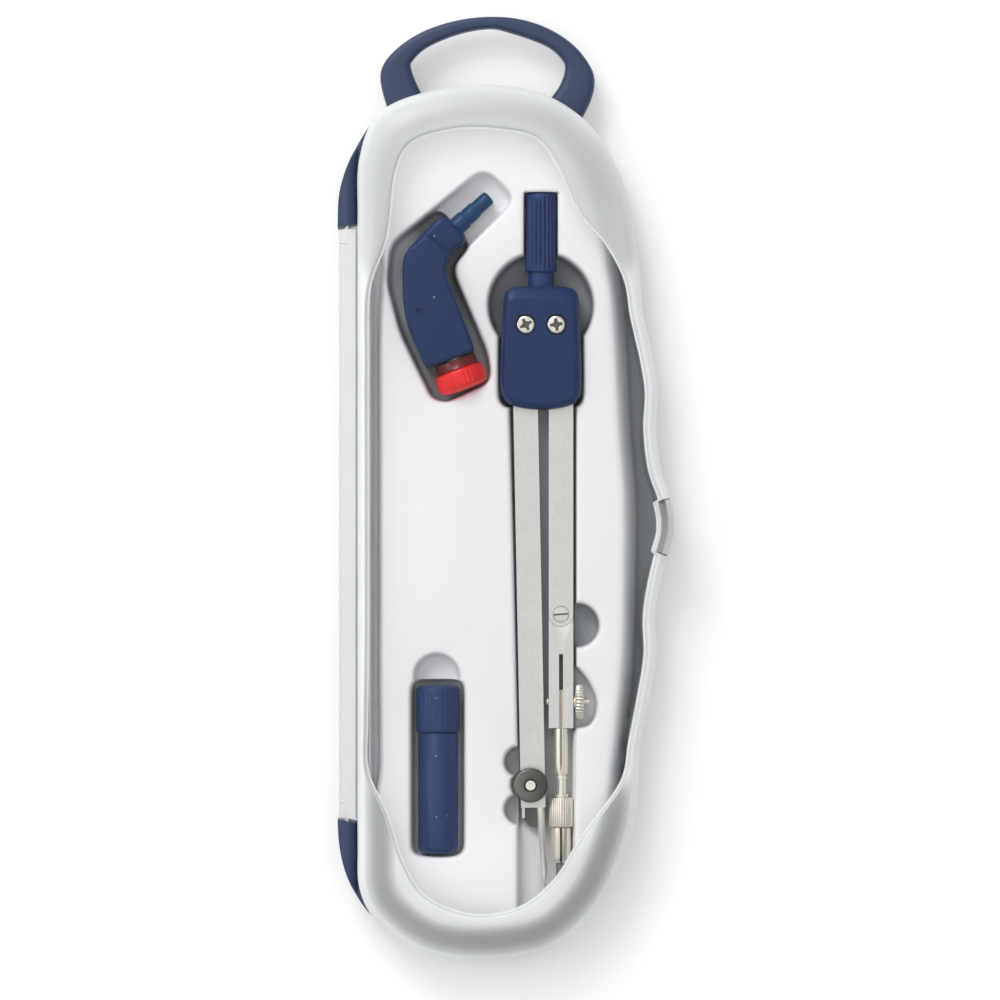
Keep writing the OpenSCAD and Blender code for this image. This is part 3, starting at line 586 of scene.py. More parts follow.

# %% [markdown]
# The metals differ mostly in gloss and in the way their streaks run: along the legs, round the turned
# parts, or every way on a plated screw. The dark knob's face has a painted highlight on its left half.

# %% Metals and graphite
def turned_face_painted_highlight():
    """Dark turned steel with a painted highlight: its face is painted lighter on its left half."""
    material = metal("turned_face", (104, 100, 94), 0.34, (2400.0, 2400.0, 400.0), 0.5, 0.2)
    tree = material.node_tree
    place = add(tree, "ShaderNodeTexCoord").outputs["Object"]
    x = add(tree, "ShaderNodeSeparateXYZ", [(0, place)]).outputs["X"]
    share = add(tree, "ShaderNodeMapRange", [("Value", x), ("From Min", 0.0018), ("From Max", 0.0075)])
    tone = ramp(tree, share.outputs[0], [(0.0, (122, 119, 113)), (0.5, (104, 101, 96)), (1.0, (80, 78, 74))])
    streaks = next(node for node in tree.nodes if node.type == "GROUP")
    tree.links.new(tone, streaks.inputs["Colour"])
    return material


leg_metal = metal("leg_aluminium", (212, 212, 207), 0.42, (2600.0, 900.0, 2600.0), 0.35, 0.25)
nickel = metal("bright_nickel", (242, 235, 222), 0.3, (900.0, 160.0, 900.0), 0.2, 0.08, 0.8)
screw_steel = metal("screw_steel", (226, 222, 214), 0.26, (1800.0, 1800.0, 1800.0), 0.3, 0.2)
# A dark steel used only as painted shade in slots and recesses.
painted_recess_shade = metal("painted_recess_shade", (104, 102, 98), 0.5, (1500.0, 1500.0, 1500.0), 0.6, 0.4)
needle_steel = metal("needle_steel", (238, 235, 228), 0.32, (2500.0, 120.0, 2500.0), 0.2, 0.1, 0.8)
dark_face = turned_face_painted_highlight()
graphite = moulded("graphite_lead", (112, 111, 112), 0.45, mottle=0.3, grain=3000, bump=0.2,
                   Specular_IOR_Level=0.8)
print("metals ready")

# %% [markdown]
# ## The case outline
# Every key point holds two places: the rim, and the crease where the lid's shoulder meets its window.
# At the right-hand bulge the lid and the tub step back for the latch strap, so two pairs of rows stand
# close together there and only the rows between them move in.

# %% Key points of the case
case_points = [
    [-3.3, 80.5, -3.1, 72.2], [7.9, 78.5, 6.1, 70.4], [16.7, 72.6, 10.9, 64.4], [22.1, 64.2, 15.3, 55.2],
    [25.3, 54.2, 20.5, 49], [26.7, 44, 24.3, 41.8], [27.5, 34.6, 25.7, 34], [29.4, 26.2, 27.7, 25.2],
    [30.4, 19.2, 28.6, 18.8], [30.1, 12, 28.3, 11.8], [30.9, 4.4, 29.2, 3.8], [33.1, -3, 31.4, -3],
    [33.6, -9, 31.4, -9], [31.1, -17.8, 29.4, -17.6], [29.8, -25.4, 28.2, -25.4], [30.1, -33.4, 28.3, -33.4],
    [28.7, -41.8, 27, -41.6], [26.9, -51, 25.3, -50.4], [26.4, -60.8, 23.5, -58.8],
    [24.3, -71.8, 16.1, -69], [18.9, -83.4, 10.3, -78.2], [9.3, -92, 2.9, -84], [-3.9, -94.5, -6.7, -85.4],
    [-16.1, -93, -16.1, -81.8], [-25.3, -86.8, -20.9, -74.8], [-29.1, -80, -24.2, -65],
    [-29.5, -70.4, -28, -56.4], [-29.5, -54.4, -28.2, -46.4], [-29.5, -30.4, -28, -30.4],
    [-29.5, -2.4, -28, -2.4], [-29.5, 23.6, -28, 24.6], [-29.5, 41.6, -27.7, 39.6],
    [-29.5, 54.6, -24.3, 50], [-29.2, 65.6, -22.5, 63.2], [-25.5, 74.6, -18.9, 69.4], [-16.1, 79, -10.7, 72]]
rim_all, crease_all = np.split(ring_through(case_points, 8), 2, axis=1)
rim_all = np.clip(rim_all, (-33.6, -94.5), (33.64, 94.5))  # the curve overshoots its pins by a hair
CREST, WINDOW, WINDOW_INSIDE, SHOULDER, PARTING = 16.9, 16.4, 15.2, 11.8, 8.5  # heights
STRAP_LOW, STRAP_HIGH = -13.4, -2.1  # where the latch strap starts and ends along Y
HINGE_X, BARREL_LOW, BARREL_HIGH, BARREL_R, EAR_R = -31.7, -66.1, 51.8, 1.6, 1.85
TUB_RIM, FOOT_IN, FOOT_UP = 8.45, 1.6, 2.2


def rows_with_step(low_y, high_y):
    """Rim, crease and both insetting directions, with close pairs of rows at the two ends of a step in
    the right-hand wall, and a mask of the rows between them."""
    n = len(rim_all)
    right = np.flatnonzero((rim_all[:, 0] > 25) & (abs(rim_all[:, 1]) < 25))
    at = [float(np.interp(-y, -rim_all[right, 1], right)) for y in (high_y, low_y)]
    t = np.sort(np.concatenate([np.arange(n), [at[0] - 0.01, at[0] + 0.01, at[1] - 0.01, at[1] + 0.01]]))
    inside = (t > at[0]) & (t < at[1])
    k, f = np.floor(t).astype(int), (t % 1)[:, None]
    normals = [inward(line, 1.0) - line for line in (rim_all, crease_all)]
    rows = [line[k % n] * (1 - f) + line[(k + 1) % n] * f for line in (rim_all, crease_all, *normals)]
    return (*rows, inside)


print("outline:", len(rim_all), "rows from", len(case_points), "key points")

# %% [markdown]
# Frosting, pocket walls and shading all depend on how far a place is from a line, so one function gives
# that distance for any ring, and another turns a number into a soft step.

# %% Distances and soft steps
def signed_distance(points, ring):
    """Distance from each point to a closed ring, positive inside: the nearest of all its segments, and
    the side by counting crossings of a ray."""
    a, b = ring, np.roll(ring, -1, 0)
    best = np.full(len(points), np.inf)
    crossings = np.zeros(len(points), int)
    for start, end in zip(a, b):
        d = end - start
        t = np.clip(((points - start) @ d) / max(d @ d, 1e-12), 0, 1)
        best = np.minimum(best, np.linalg.norm(points - start - t[:, None] * d, axis=1))
        above = (start[1] > points[:, 1]) != (end[1] > points[:, 1])
        if start[1] != end[1]:
            x = start[0] + (points[:, 1] - start[1]) * d[0] / d[1]
            crossings += above & (points[:, 0] < x)
    return np.where(crossings % 2 == 1, best, -best)


def smooth(value, low, high):
    """0 below low, 1 above high, and 3t^2 - 2t^3 between them."""
    t = np.clip((value - low) / (high - low), 0, 1)
    return t * t * (3 - 2 * t)


print("from the middle to the rim:", round(float(signed_distance(np.zeros((1, 2)), rim_all)[0]), 1), "mm")

# %% [markdown]
# ## The lid
# One closed skin: over the window, up a small step to the crest, down the shoulder as a quarter of an
# ellipse, round the rim and back up the inside. The faces of the window get the polished material.

# %% Lid
def lid_shell():
    """Ring heights: shoulder z = 11.8 + 5.1 sin(a), place = rim + (crease - rim)(1 - cos(a))."""
    rim, crease, rim_in, crease_in, step = rows_with_step(STRAP_LOW - 0.15, STRAP_HIGH + 0.15)
    rings, across = [], []
    wide = smooth(np.linalg.norm(crease - rim, axis=1), 2.4, 4.8)

    def ring(line, depth_in_step, z, value=None):
        """One ring, with its rows inside the step set back from the rim. On the shoulder the value is a
        tenth of the distance from the rim in millimetres, compressed at the upper end and on the narrow
        sides, where the painted shade is lighter and more even."""
        spot = np.where(step[:, None], rim + depth_in_step * rim_in, line)
        if value is None:
            away = np.abs(signed_distance(spot, rim_all))
            even = np.interp(away, [0, 1.6, 4, 6, 8], [0.15, 0.195, 0.25, 0.27, 0.225])
            upper = smooth(spot[:, 1], 25, 50)
            value = np.minimum(away / 10, 0.79) * (1 - upper) + even * upper
            value = value * wide + 0.12 * (1 - wide)
        rings.append(at_height(spot, z))
        across.append(np.zeros(len(spot)) + value)

    # The step rings' values put a painted highlight on the crest and a painted dark line at the crease.
    for inset, back, z, value in [(0.9, 3.6, WINDOW, 1.0), (0.62, 3.4, WINDOW + 0.02, 0.95),
                                  (0.42, 3.25, WINDOW + 0.16, 0.88), (0.28, 3.1, WINDOW + 0.36, 0.84),
                                  (0.12, 2.95, WINDOW + 0.47, 0.81)]:
        ring(crease + inset * crease_in, back, z, value)
    for a in np.radians(np.linspace(90, 0, 15)):
        ring(rim + (crease - rim) * (1 - math.cos(a)), 2.5 + 0.25 * math.sin(a) ** 4,
             SHOULDER + (CREST - SHOULDER) * math.sin(a))
    for inset, back, z in [(0, 2.5, PARTING + 0.3), (0.12, 2.52, PARTING + 0.1),
                           (0.35, 2.6, PARTING + 0.05), (1.1, 2.9, PARTING + 0.05),
                           (1.3, 3.1, PARTING + 0.25), (1.3, 3.1, SHOULDER - 0.6)]:
        ring(rim + inset * rim_in, back, z, 0.1)
    inner_rim, inner_crease = rim + 1.3 * rim_in, crease + 0.6 * crease_in
    rise = WINDOW_INSIDE - SHOULDER + 0.6
    for a in np.radians(np.linspace(9, 90, 10)):
        ring(inner_rim + (inner_crease - inner_rim) * (1 - math.cos(a)), 3.1 + 0.3 * math.sin(a) ** 4,
             SHOULDER - 0.6 + rise * math.sin(a))
    ring(crease + 0.9 * crease_in, 3.7, WINDOW_INSIDE, 1.0)
    low, high = [0, 0, WINDOW], [0, 0, WINDOW_INSIDE]
    shell = stack(rings, low, high)
    n = len(rim)
    face_is_window = np.concatenate([np.zeros(len(shell[1])), np.ones(len(shell[2]))])
    return shell, face_is_window, np.concatenate(across + [[1.0, 1.0]])


shell, clear_faces, across = lid_shell()
piece("lid_shell", shell, "lid", (frosted, window), ("lid",), crisp=32, faces=clear_faces,
      values={"across": across})

# %% [markdown]
# Along the hinge side the lid ends in a long milky barrel. A narrow groove near each end marks where the
# tub's ear begins, and a thin web joins the barrel to the lid's wall.

# %% Hinge barrel
def barrel_shell():
    """Barrel about the hinge axis, with a groove three millimetres from each end, and the web to the lid."""
    length = BARREL_HIGH - BARREL_LOW
    half = [(0, 1.3), (0.12, 1.5), (0.35, BARREL_R), (2.85, BARREL_R), (2.95, 1.42), (3.15, 1.42),
            (3.25, BARREL_R)]
    profile = half + [(length - h, r) for h, r in reversed(half)]
    barrel = turned(profile, (HINGE_X, BARREL_LOW, PARTING), (0, 1, 0), 32)
    edge = softened([[HINGE_X, 8.6], [-29.2, 8.6], [-29.2, 9.2], [-29.9, 9.2], [-29.9, 10.1],
                     [HINGE_X, 10.1]], 0.15)
    rows = [BARREL_LOW + 0.1, BARREL_LOW + 2.9, BARREL_LOW + 3.2,
            BARREL_HIGH - 3.2, BARREL_HIGH - 2.9, BARREL_HIGH - 0.1]
    web = stack([np.column_stack([edge[:, 0], np.full(len(edge), y), edge[:, 1]]) for y in rows])
    return together(barrel, web)


piece("hinge_barrel", barrel_shell(), "lid", milky)

# %% [markdown]
# The latch strap is a springy tongue that carries the lid's shoulder down past the tub's edge. Its section
# is swept along the rim between the two ends of the step.

# %% Latch strap
def strap_shell():
    """Section (depth, z): up the outside, over the shoulder's curve to a depth of 1.2, and down inside,
    with a thin web that reaches back to the lid."""
    thick, low_z, width = 1.2, 6.0, 2.0
    top = math.acos(1 - thick / width)
    curve = [[width * (1 - math.cos(a)), SHOULDER + (CREST - SHOULDER) * math.sin(a)]
             for a in np.linspace(0, top, 9)]
    section = softened([[0, low_z], *curve, [thick, curve[-1][1] - 0.6], [thick, 10.0], [2.4, 9.9],
                        [2.4, 9.2], [thick, 9.1], [thick, low_z]], 0.25)
    rows = rows_with_step(STRAP_LOW, STRAP_HIGH)
    rim, rim_in, inside = rows[0], rows[2], rows[4]
    rim, rim_in = rim[inside], rim_in[inside]
    rings = rim[:, None] + section[None, :, :1] * rim_in[:, None]
    rings = np.concatenate([rings, np.broadcast_to(section[None, :, 1:], (*rings.shape[:2], 1))], -1)
    ends = [rings[0] * 0.06 + rings[0].mean(0) * 0.94, rings[-1] * 0.06 + rings[-1].mean(0) * 0.94]
    return stack([ends[0], *rings, ends[1]])


tongue = strap_shell()
# The strap's part that lies more than 1.3 inside the rim, under the lid, gets painted shade.
behind = signed_distance(tongue[0][:, :2], rim_all) > 1.3
piece("latch_tongue", tongue, "latch", milky, ("latch_strap",),
      values={"sunk": 0.45 * behind})

# %% [markdown]
# ## The tub, its carry loop and its two ears
# Tub, loop and ears are one navy moulding. The loop and the ears are swept between an outer and an inner
# line that are walked at the same pace, and their ends stop inside the tub's wall.

# %% Tub
def tub_shell():
    """Foot as a quarter of an ellipse, 1.6 in and 2.2 up, a straight wall and a two-millimetre rim."""
    rim, _, rim_in, _, step = rows_with_step(STRAP_LOW - 0.3, STRAP_HIGH + 0.3)
    rings = []
    for a in np.radians(np.linspace(0, 90, 9)):
        rings.append(at_height(rim + FOOT_IN * (1 - math.sin(a)) * rim_in, FOOT_UP * (1 - math.cos(a))))
    for inset, in_step, z in [(0, 0, 5.8), (0, 1.3, 5.86), (0, 1.3, 8.2), (0.08, 1.34, 8.38),
                              (0.3, 1.5, TUB_RIM), (1.75, 1.8, TUB_RIM), (1.95, 1.98, 8.35), (2, 2, 8.1),
                              (2, 2, 2), (2.6, 2.6, 1.5)]:
        depth = np.where(step, in_step, inset)[:, None]
        rings.append(at_height(rim + depth * rim_in, z))
    return stack(rings, [0, 0, 0], [0, 0, 1.5])


piece("base_tub", tub_shell(), "base", case_navy, ("base_shell",), crisp=40)

# %% [markdown]
# The carry loop stands out beyond the upper end, and an ear at each end of the barrel holds a hinge pin.

# %% Carry loop and ears
loop_outer_points = [
    [-22.9, 74.8], [-23.6, 75.8], [-25.1, 81.8], [-24.2, 85.4], [-20.7, 89], [-15.7, 91.9], [-9.5, 93.8],
    [-3.3, 94.49], [3, 94], [8.9, 92], [13.9, 88.6], [17.1, 84.4], [17.9, 81.2], [17.1, 77.6], [15.3, 74],
    [14.7, 72.8]]
loop_inner_points = [
    [8.6, 77.2], [9.1, 78.2], [10.9, 80.8], [11.9, 83.8], [11.3, 86], [7.9, 88.8], [0.9, 91.3], [-3.3, 92.1],
    [-9.5, 91], [-15.7, 88.4], [-18.7, 85.6], [-18.9, 84.2], [-18.1, 81.8], [-16.7, 78.8], [-16.3, 77.7]]
upper_ear_points = [
    [-20, 77.2], [-23.8, 75.7], [-26.2, 73.6], [-28, 71.4], [-30.7, 66.6], [-32.4, 62.4], [-33.4, 58],
    [-33.6, 52]]
lower_ear_points = [
    [-33.6, -66.3], [-33.3, -71], [-32.3, -75.8], [-30.5, -80.2], [-27.9, -84.3], [-25.3, -86.8]]


def paced(line, count):
    """A line walked at an even pace: count points at equal lengths along it."""
    walked = np.concatenate([[0], np.cumsum(np.linalg.norm(np.diff(line, axis=0), axis=1))])
    at = np.linspace(0, walked[-1], count)
    return np.column_stack([np.interp(at, walked, line[:, k]) for k in range(2)])


def loop_shell():
    """Section |x|^4 + |z|^4 = 1, stretched between the outer and inner lines and 5.2 high."""
    outer = paced(row_through(loop_outer_points, 8), 120)
    inner = paced(row_through(loop_inner_points, 8), 120)[::-1]
    a = np.linspace(0, 2 * np.pi, 28, endpoint=False)
    across, up = (np.sign(w) * np.abs(w) ** 0.5 for w in (np.cos(a), np.sin(a)))
    middle, half = (outer + inner) / 2, (outer - inner) / 2
    flat = middle[:, None] + half[:, None] * across[None, :, None]
    height = np.broadcast_to(5.2 + 2.6 * up[None, :, None], (*flat.shape[:2], 1))
    return stack(np.concatenate([flat, height], -1))


def ear_shell(points, inner, stations=40):
    """Below the hinge axis the ear is a wall with the tub's foot, and above it a ridge of radius 1.85."""
    outer, inner = paced(row_through(points, 8), stations), paced(inner, stations)
    width = np.linalg.norm(inner - outer, axis=1)
    towards = (inner - outer) / width[:, None]
    a = np.radians(np.linspace(0, 90, 7))
    depth = np.concatenate([FOOT_IN * (1 - np.sin(a)), [0, 0.03, 0.12, 0.3], np.linspace(0.5, 7, 24), [9, 9]])
    low = np.concatenate([FOOT_UP * (1 - np.cos(a)), [7.9]])
    depth = np.minimum(depth[None, :], width[:, None])
    flat = outer[:, None] + depth[..., None] * towards[:, None]
    ridge = EAR_R**2 - (flat[..., 0] - HINGE_X) ** 2
    height = np.maximum(TUB_RIM, PARTING + np.sqrt(np.maximum(ridge, 0)))
    height[:, :len(low)] = low
    height[:, len(low)] = height[:, len(low) + 2] - 0.25
    height[:, len(low) + 1] = height[:, len(low) + 2] - 0.1
    height[:, -2:] = [6.0, 0.2]
    return stack(np.concatenate([flat, height[..., None]], -1))


wall_middle = inward(rim_all, 1.0)
left_top = wall_middle[(wall_middle[:, 0] < -20) & (wall_middle[:, 1] > 52)][::-1]
left_low = wall_middle[(wall_middle[:, 0] < -25) & (wall_middle[:, 1] < -66.3)][::-1]
piece("carry_loop", loop_shell(), "base", case_navy)
piece("upper_ear", ear_shell(upper_ear_points, left_top), "base", case_navy)
piece("lower_ear", ear_shell(lower_ear_points, left_low), "base", case_navy)

# %% [markdown]
# ## The liner tray
# The tray is one thin sheet with a height at every place. A pocket's wall depends only on the distance
# from its outline, so the height is worked out from signed distances: outside an outline the sheet stays
# up, a rounded edge follows, then a slanted wall and a fillet. Where pockets meet, the lowest one wins.

# %% Wall profile
TRAY_TOP, MOAT, TRAY_RIM = 10.0, 2.2, 7.8  # heights
WALL_AT = [-0.8, -0.5, -0.2, 0.05, 0.45, 0.75, 1.2]  # distances inside an outline
EDGE_AT = [-0.7, -0.3, 0, 0.85, 1.1, 1.4]  # distances outside the platform, times its slope
RIM_AT = [0, 0.15, 0.5, 0.9]  # distances inside the tray's own edge


def wall(d, floor, top=TRAY_TOP):
    """Height over a pocket, at the distance d inside its outline."""
    return top - (top - floor) * np.interp(d, WALL_AT, [0, 0.008, 0.045, 0.15, 0.88, 0.975, 1.0])


def circle(x, y, r, count=40):
    """A ring of points round a centre."""
    a = np.linspace(0, 2 * np.pi, count, endpoint=False)
    return np.column_stack([x + r * np.cos(a), y + r * np.sin(a)])


def box_2d(x0, y0, x1, y1, radius):
    """A rectangle with rounded corners."""
    return softened([[x0, y0], [x1, y0], [x1, y1], [x0, y1]], radius, 6)


print("wall over a floor at 2.3, halfway down:", round(float(wall(0.25, 2.3)), 2))

# %% [markdown]
# Each pocket is an outline, a floor and a tone: deep places are painted dark, as painted shade of their
# depth. Finger spaces widen some pockets, and a moat runs round the raised platform.

# %% Pockets of the tray
compass_x = 7.1
ARM_FLOOR, GRIP_FLOOR, LEG_FLOOR = 2.3, 4.4, 4.8
leg_pocket = [[0.6, 20], [1.5, -14.4], [2.3, -50], [2.4, -85.5], [11, -85.5], [14.3, -76], [14.3, 20]]
wheel_pocket = [[13, -35], [14.2, -35.4], [16.9, -38.4], [18.5, -42.4], [18.3, -45.4], [16.9, -47.8],
                [13, -48.4]]
adapter_pocket = [[-13.2, 56.6], [-6.6, 49], [-10.6, 43.9], [-3.2, 26.5], [-2.7, 21.3], [-11.8, 17],
                  [-14.8, 17.8], [-21, 31], [-23.7, 41.2], [-22.8, 48.9]]
plug_pocket = [[-4.2, 64.2], [2.5, 57.8], [-10.4, 45.2], [-17.5, 53.4]]
# Each pocket: its outline, the height of its floor, and how light its painted shade leaves the floor.
pockets = [
    (softened(adapter_pocket, 2.4, 6), ARM_FLOOR, 0.5),
    (softened(plug_pocket, 3.6, 8), 6.1, 0.86),
    (circle(compass_x, 36.6, 10.6, 72), 3.1, 0.3),
    (box_2d(compass_x - 8.5, 15.9, compass_x + 8.5, 37.2, 3.0), 3.1, 0.3),
    (box_2d(compass_x - 4, 38, compass_x + 4.2, 59.7, 1.6), GRIP_FLOOR, 0.35),
    (softened(leg_pocket, 1.2, 5), LEG_FLOOR, 0.5),
    (circle(5, -59.3, 3.9), LEG_FLOOR, 0.36),
    (circle(14.3, -27.4, 4.6), 5.4, 0.28),
    (softened(wheel_pocket, 1.6, 5), 3.8, 1.0),
    (circle(2.9, -54.7, 3.3), 5.4, 0.48),
    (circle(2.9, -64.2, 3.3), 6.4, 0.46),
    (box_2d(-18.9, -73.7, -8.1, -38.1, 2.6), ARM_FLOOR, 1.0),
    (circle(-13.7, -37.7, 4.7), 6.4, 0.88)]
platform_points = [
    [-3.1, 72], [7, 70], [12, 62.5], [18.3, 50], [20.8, 42], [22, 30], [22.9, 12], [24, -2.5], [23.9, -18],
    [23.6, -32], [22.5, -44], [20.7, -58], [16, -70], [8.5, -80.5], [-3.5, -84.6], [-15, -82],
    [-21, -74], [-24.2, -62], [-24.7, -42], [-24.7, -18], [-24.7, 8], [-24.7, 32], [-23.6, 48],
    [-21, 63], [-13.5, 70.6]]
platform = ring_through(platform_points, 8)
ends = np.clip((abs(platform[:, 1] + 6) - 50) / 12, 0, 1)
platform = inward(platform, -2.4 * ends)
tray_edge = inward(rim_all, 2.3)
print("pocket floors:", sorted({floor for _, floor, _ in pockets}))

# %% [markdown]
# The height at any place is the lowest of all the pockets' walls. Some floors rise where the sheet comes
# up close to a piece: beside the grip, beyond the needle's point and beside the lead holder.

# %% Height and tone at a place
def area(ring):
    """Signed area of a flat ring, positive when it runs anticlockwise."""
    x, y = ring[:, 0], ring[:, 1]
    return 0.5 * np.sum(x * np.roll(y, -1) - y * np.roll(x, -1))


def spread(x):
    """How wide the platform's edge is: 0.9 on the left, growing to 2.2 on the right."""
    return 0.9 + 1.3 * np.clip((x + 12) / 24, 0, 1)


def ground_of(floor, x, y):
    """A pocket's floor with its raised places."""
    if floor == GRIP_FLOOR:
        return floor + 5.3 * np.maximum(smooth(abs(x - compass_x), 3.1, 3.4), smooth(y, 58.95, 59.2))
    if floor == LEG_FLOOR:
        ground = floor + 1.5 * smooth(-y, 66.8, 69.5) * smooth(8.6 - x, 0, 0.8)
        beside_nut = smooth(-y, 61, 62) * smooth(y, -69, -68)
        bank = smooth(x, 13.0 + 0.5 * beside_nut, 13.8 + 0.4 * beside_nut) * smooth(-y, 48, 49.5)
        return np.maximum(ground, floor + 4.4 * bank)
    return np.full(len(x), floor)


def painted_lightness_of(floor, floor_lightness, x, y):
    """A pocket's painted tone: painted lighter where its floor rises and at the adapter's left side."""
    if floor == GRIP_FLOOR:
        return floor_lightness + 0.62 * smooth(y, 43, 49)
    if floor == LEG_FLOOR:
        beside_tube = smooth(x, 11.4, 12.6) * smooth(-y, 47.5, 49)
        return floor_lightness + np.maximum(0.32 * smooth(-y, 66.2, 68.5), 0.42 * beside_tube)
    if floor == ARM_FLOOR:
        return floor_lightness + 0.9 * smooth(y, 30, 40) * smooth(-x, 17, 20)
    return np.full(len(x), floor_lightness)


def tray_form(points):
    """Height and painted tone: the lowest pocket wins inside the platform, and the rim's rise at the edge."""
    height = np.full(len(points), TRAY_TOP)
    tone = np.ones(len(points))
    x, y = points.T
    for outline, floor, floor_lightness in pockets:
        ground = ground_of(floor, x, y)
        here = wall(signed_distance(points, outline), ground)
        depth = (TRAY_TOP - here) / (TRAY_TOP - ground)
        shade = 1 - (1 - painted_lightness_of(floor, floor_lightness, x, y)) * smooth(depth, 0.0, 0.9)
        tone = np.where(here < height, np.minimum(shade, tone), tone)
        height = np.minimum(height, here)
    outside = -signed_distance(points, platform)
    fall = np.interp(outside / spread(x), EDGE_AT, [0, 0.02, 0.1, 0.9, 0.98, 1])
    height = np.minimum(height, TRAY_TOP - (TRAY_TOP - MOAT) * fall)
    # Painted shade: darker down the platform's edge, and in the moat dark on the right-hand side and light on
    # the left.
    moat = 0.13 + 0.87 * smooth(-x, 10, 20)
    tone = np.minimum(tone, np.interp(fall, [0, 0.1, 0.25, 0.8, 0.95], [1, 0.96, 0.92, 0.9, 0.6]))
    tone = np.where(fall > 0.95, moat, tone)
    # Painted light: the tray's colour is lighter towards both ends.
    tone = np.clip(tone, 0, 1) * (0.89 + 0.11 * smooth(abs(y + 6), 40, 68))
    edge = signed_distance(points, tray_edge)
    rise = MOAT + (TRAY_RIM - MOAT) * np.interp(edge, RIM_AT, [1, 0.85, 0.1, 0])
    return np.maximum(height, rise), tone


print("height in the middle of the platform:", float(tray_form(np.array([[-15.0, 0.0]]))[0][0]))

# %% [markdown]
# The sheet's points are the outlines and their offset rings, so that every edge of a pocket is followed
# exactly. A constrained triangulation joins them, and it splits the rings where two pockets cross.

# %% Tray
def tray_sheet():
    """Constrained Delaunay triangulation of all rings, with the height worked out at each point."""
    rings = [tray_edge] + [inward(tray_edge, d) for d in RIM_AT[1:]]
    rings += [inward(platform, -d * spread(platform[:, 0])) for d in (*EDGE_AT[:3], 0.4, *EDGE_AT[3:])]
    for outline, _, _ in pockets:
        clockwise = outline[::-1] if area(outline) > 0 else outline
        rings += [inward(clockwise, d) for d in (*WALL_AT[:4], 0.25, *WALL_AT[4:])]
    coords, edges = [], []
    for ring in rings:
        first = len(coords)
        coords += [Vector(p) for p in ring.tolist()]
        edges += [(first + k, first + (k + 1) % len(ring)) for k in range(len(ring))]
    found = delaunay_2d_cdt(coords, edges, [], 0, 1e-4)
    flat = np.array([tuple(v) for v in found[0]])
    tris = np.array(found[2])
    middle = flat[tris].mean(1)
    tris = tris[signed_distance(middle, tray_edge) > 0]
    used, tris = np.unique(tris, return_inverse=True)
    flat, tris = flat[used], tris.reshape(-1, 3)
    height, tone = tray_form(flat)
    return np.column_stack([flat, height]), tris, tone


sheet, tris, tone = tray_sheet()
a, b, c = (sheet[tris[:, k], :2] for k in range(3))
flip = np.cross(b - a, c - a) < 0
tris[flip] = tris[flip][:, ::-1]
tray = piece("liner_tray", (sheet, np.zeros((0, 4), int), tris), "base", liner,
             ("insert_tray",), crisp=50, values={"tone": tone})
thickness = tray.modifiers.new("thickness", "SOLIDIFY")
thickness.thickness = 0.35 * MM
thickness.offset = -1
print("tray:", len(pockets), "pockets")

# %% [markdown]
# ## The compass
# The legs lie flat at one height. The head is two moulded halves round the leg pivots, with a long ribbed
# grip above it. Its outline is drawn through points on one side and mirrored, and each half is a stack of
# that outline moved inwards, so that the crown has soft shoulders.

# %% Head
LEG_Z = 7.7  # height of the legs' middle
head_points = [
    [0, 40.4], [4.5, 40.25], [6.4, 39.75], [7.3, 38.75], [7.55, 37], [7.9, 30.5], [8.1, 24], [8.02, 19.6],
    [7.3, 17.75], [5.9, 16.6], [3.0, 15.9], [0, 15.7]]
pivots = [(4.05, 32.65), (10.15, 32.65)]
right_half = np.array(head_points, float)
head_ring = ring_through(np.vstack([right_half, right_half[-2:0:-1] * [-1, 1]]), 8) + [compass_x, 0]
head_middle, head_reach = np.array([compass_x, 28]), np.array([7.5, 11.6])
BEND_START, BEND_LENGTH = 34, 6.4  # the crown begins to slope at this Y, over this length
RECESS_R, SCREW_SEAT = 2.15, 11.3


def head_shell(side):
    """Side wall, then a crown whose upper end slopes away further than its sides. side is 1 or -1.
    Small insets follow the outline, and larger ones shrink it towards its middle."""
    rings = []
    for inset, slope, rise in [(0.5, 0.0, 1.55), (0.05, 0.0, 1.6), (0.0, 0.0, 1.75), (0.0, 0.0, 2.8),
                               (0.08, 0.0, 3.2), (0.2, 0.1, 3.4), (0.42, 0.75, 3.8), (0.7, 1.45, 4.18),
                               (1.0, 1.8, 4.38), (1.5, 1.9, 4.47), (3.2, 1.9, 4.5)]:
        ring = inward(head_ring, min(inset, 0.7))
        ring = head_middle + (ring - head_middle) * (1 - max(inset - 0.7, 0) / head_reach)
        ring[:, 1] -= slope * np.clip((ring[:, 1] - BEND_START) / BEND_LENGTH, 0, 1) ** 2
        rings.append(at_height(ring, LEG_Z + side * rise))
    return stack(rings)


def tube_z(x, y, low, high, radius, sides=40):
    """A plain upright cylinder, used as a cutter."""
    return turned([(low, radius), (high, radius)], (x, y, 0), (0, 0, 1), sides)


def block(x0, x1, y0, y1, z0, z1, radius=0.0):
    """A box as a stack of two rectangles, with rounded upright edges."""
    ring = [[x0, y0], [x0, y1], [x1, y1], [x1, y0]]
    ring = softened(ring, radius) if radius else np.array(ring, float)
    return stack([at_height(ring, z0), at_height(ring, z1)])


front = piece("head_front_half", head_shell(1), "compass", head_navy, ("head_front",),
              crisp=40)
cut(front, [tube_z(x, y, SCREW_SEAT, 13, RECESS_R, 56) for x, y in pivots])
piece("head_rear_half", head_shell(-1), "compass", head_navy, ("head_rear",), crisp=40)
bridge = block(compass_x - 6.6, compass_x + 6.6, 36.6, 39.9, LEG_Z - 1.9, LEG_Z + 1.9, 0.8)
piece("head_bridge", bridge, "compass", head_navy)

# %% [markdown]
# Two cross-recessed screws hold the head together. Each is a low dome, and the cross is cut with an exact
# Boolean, because its edges have to stay sharp.

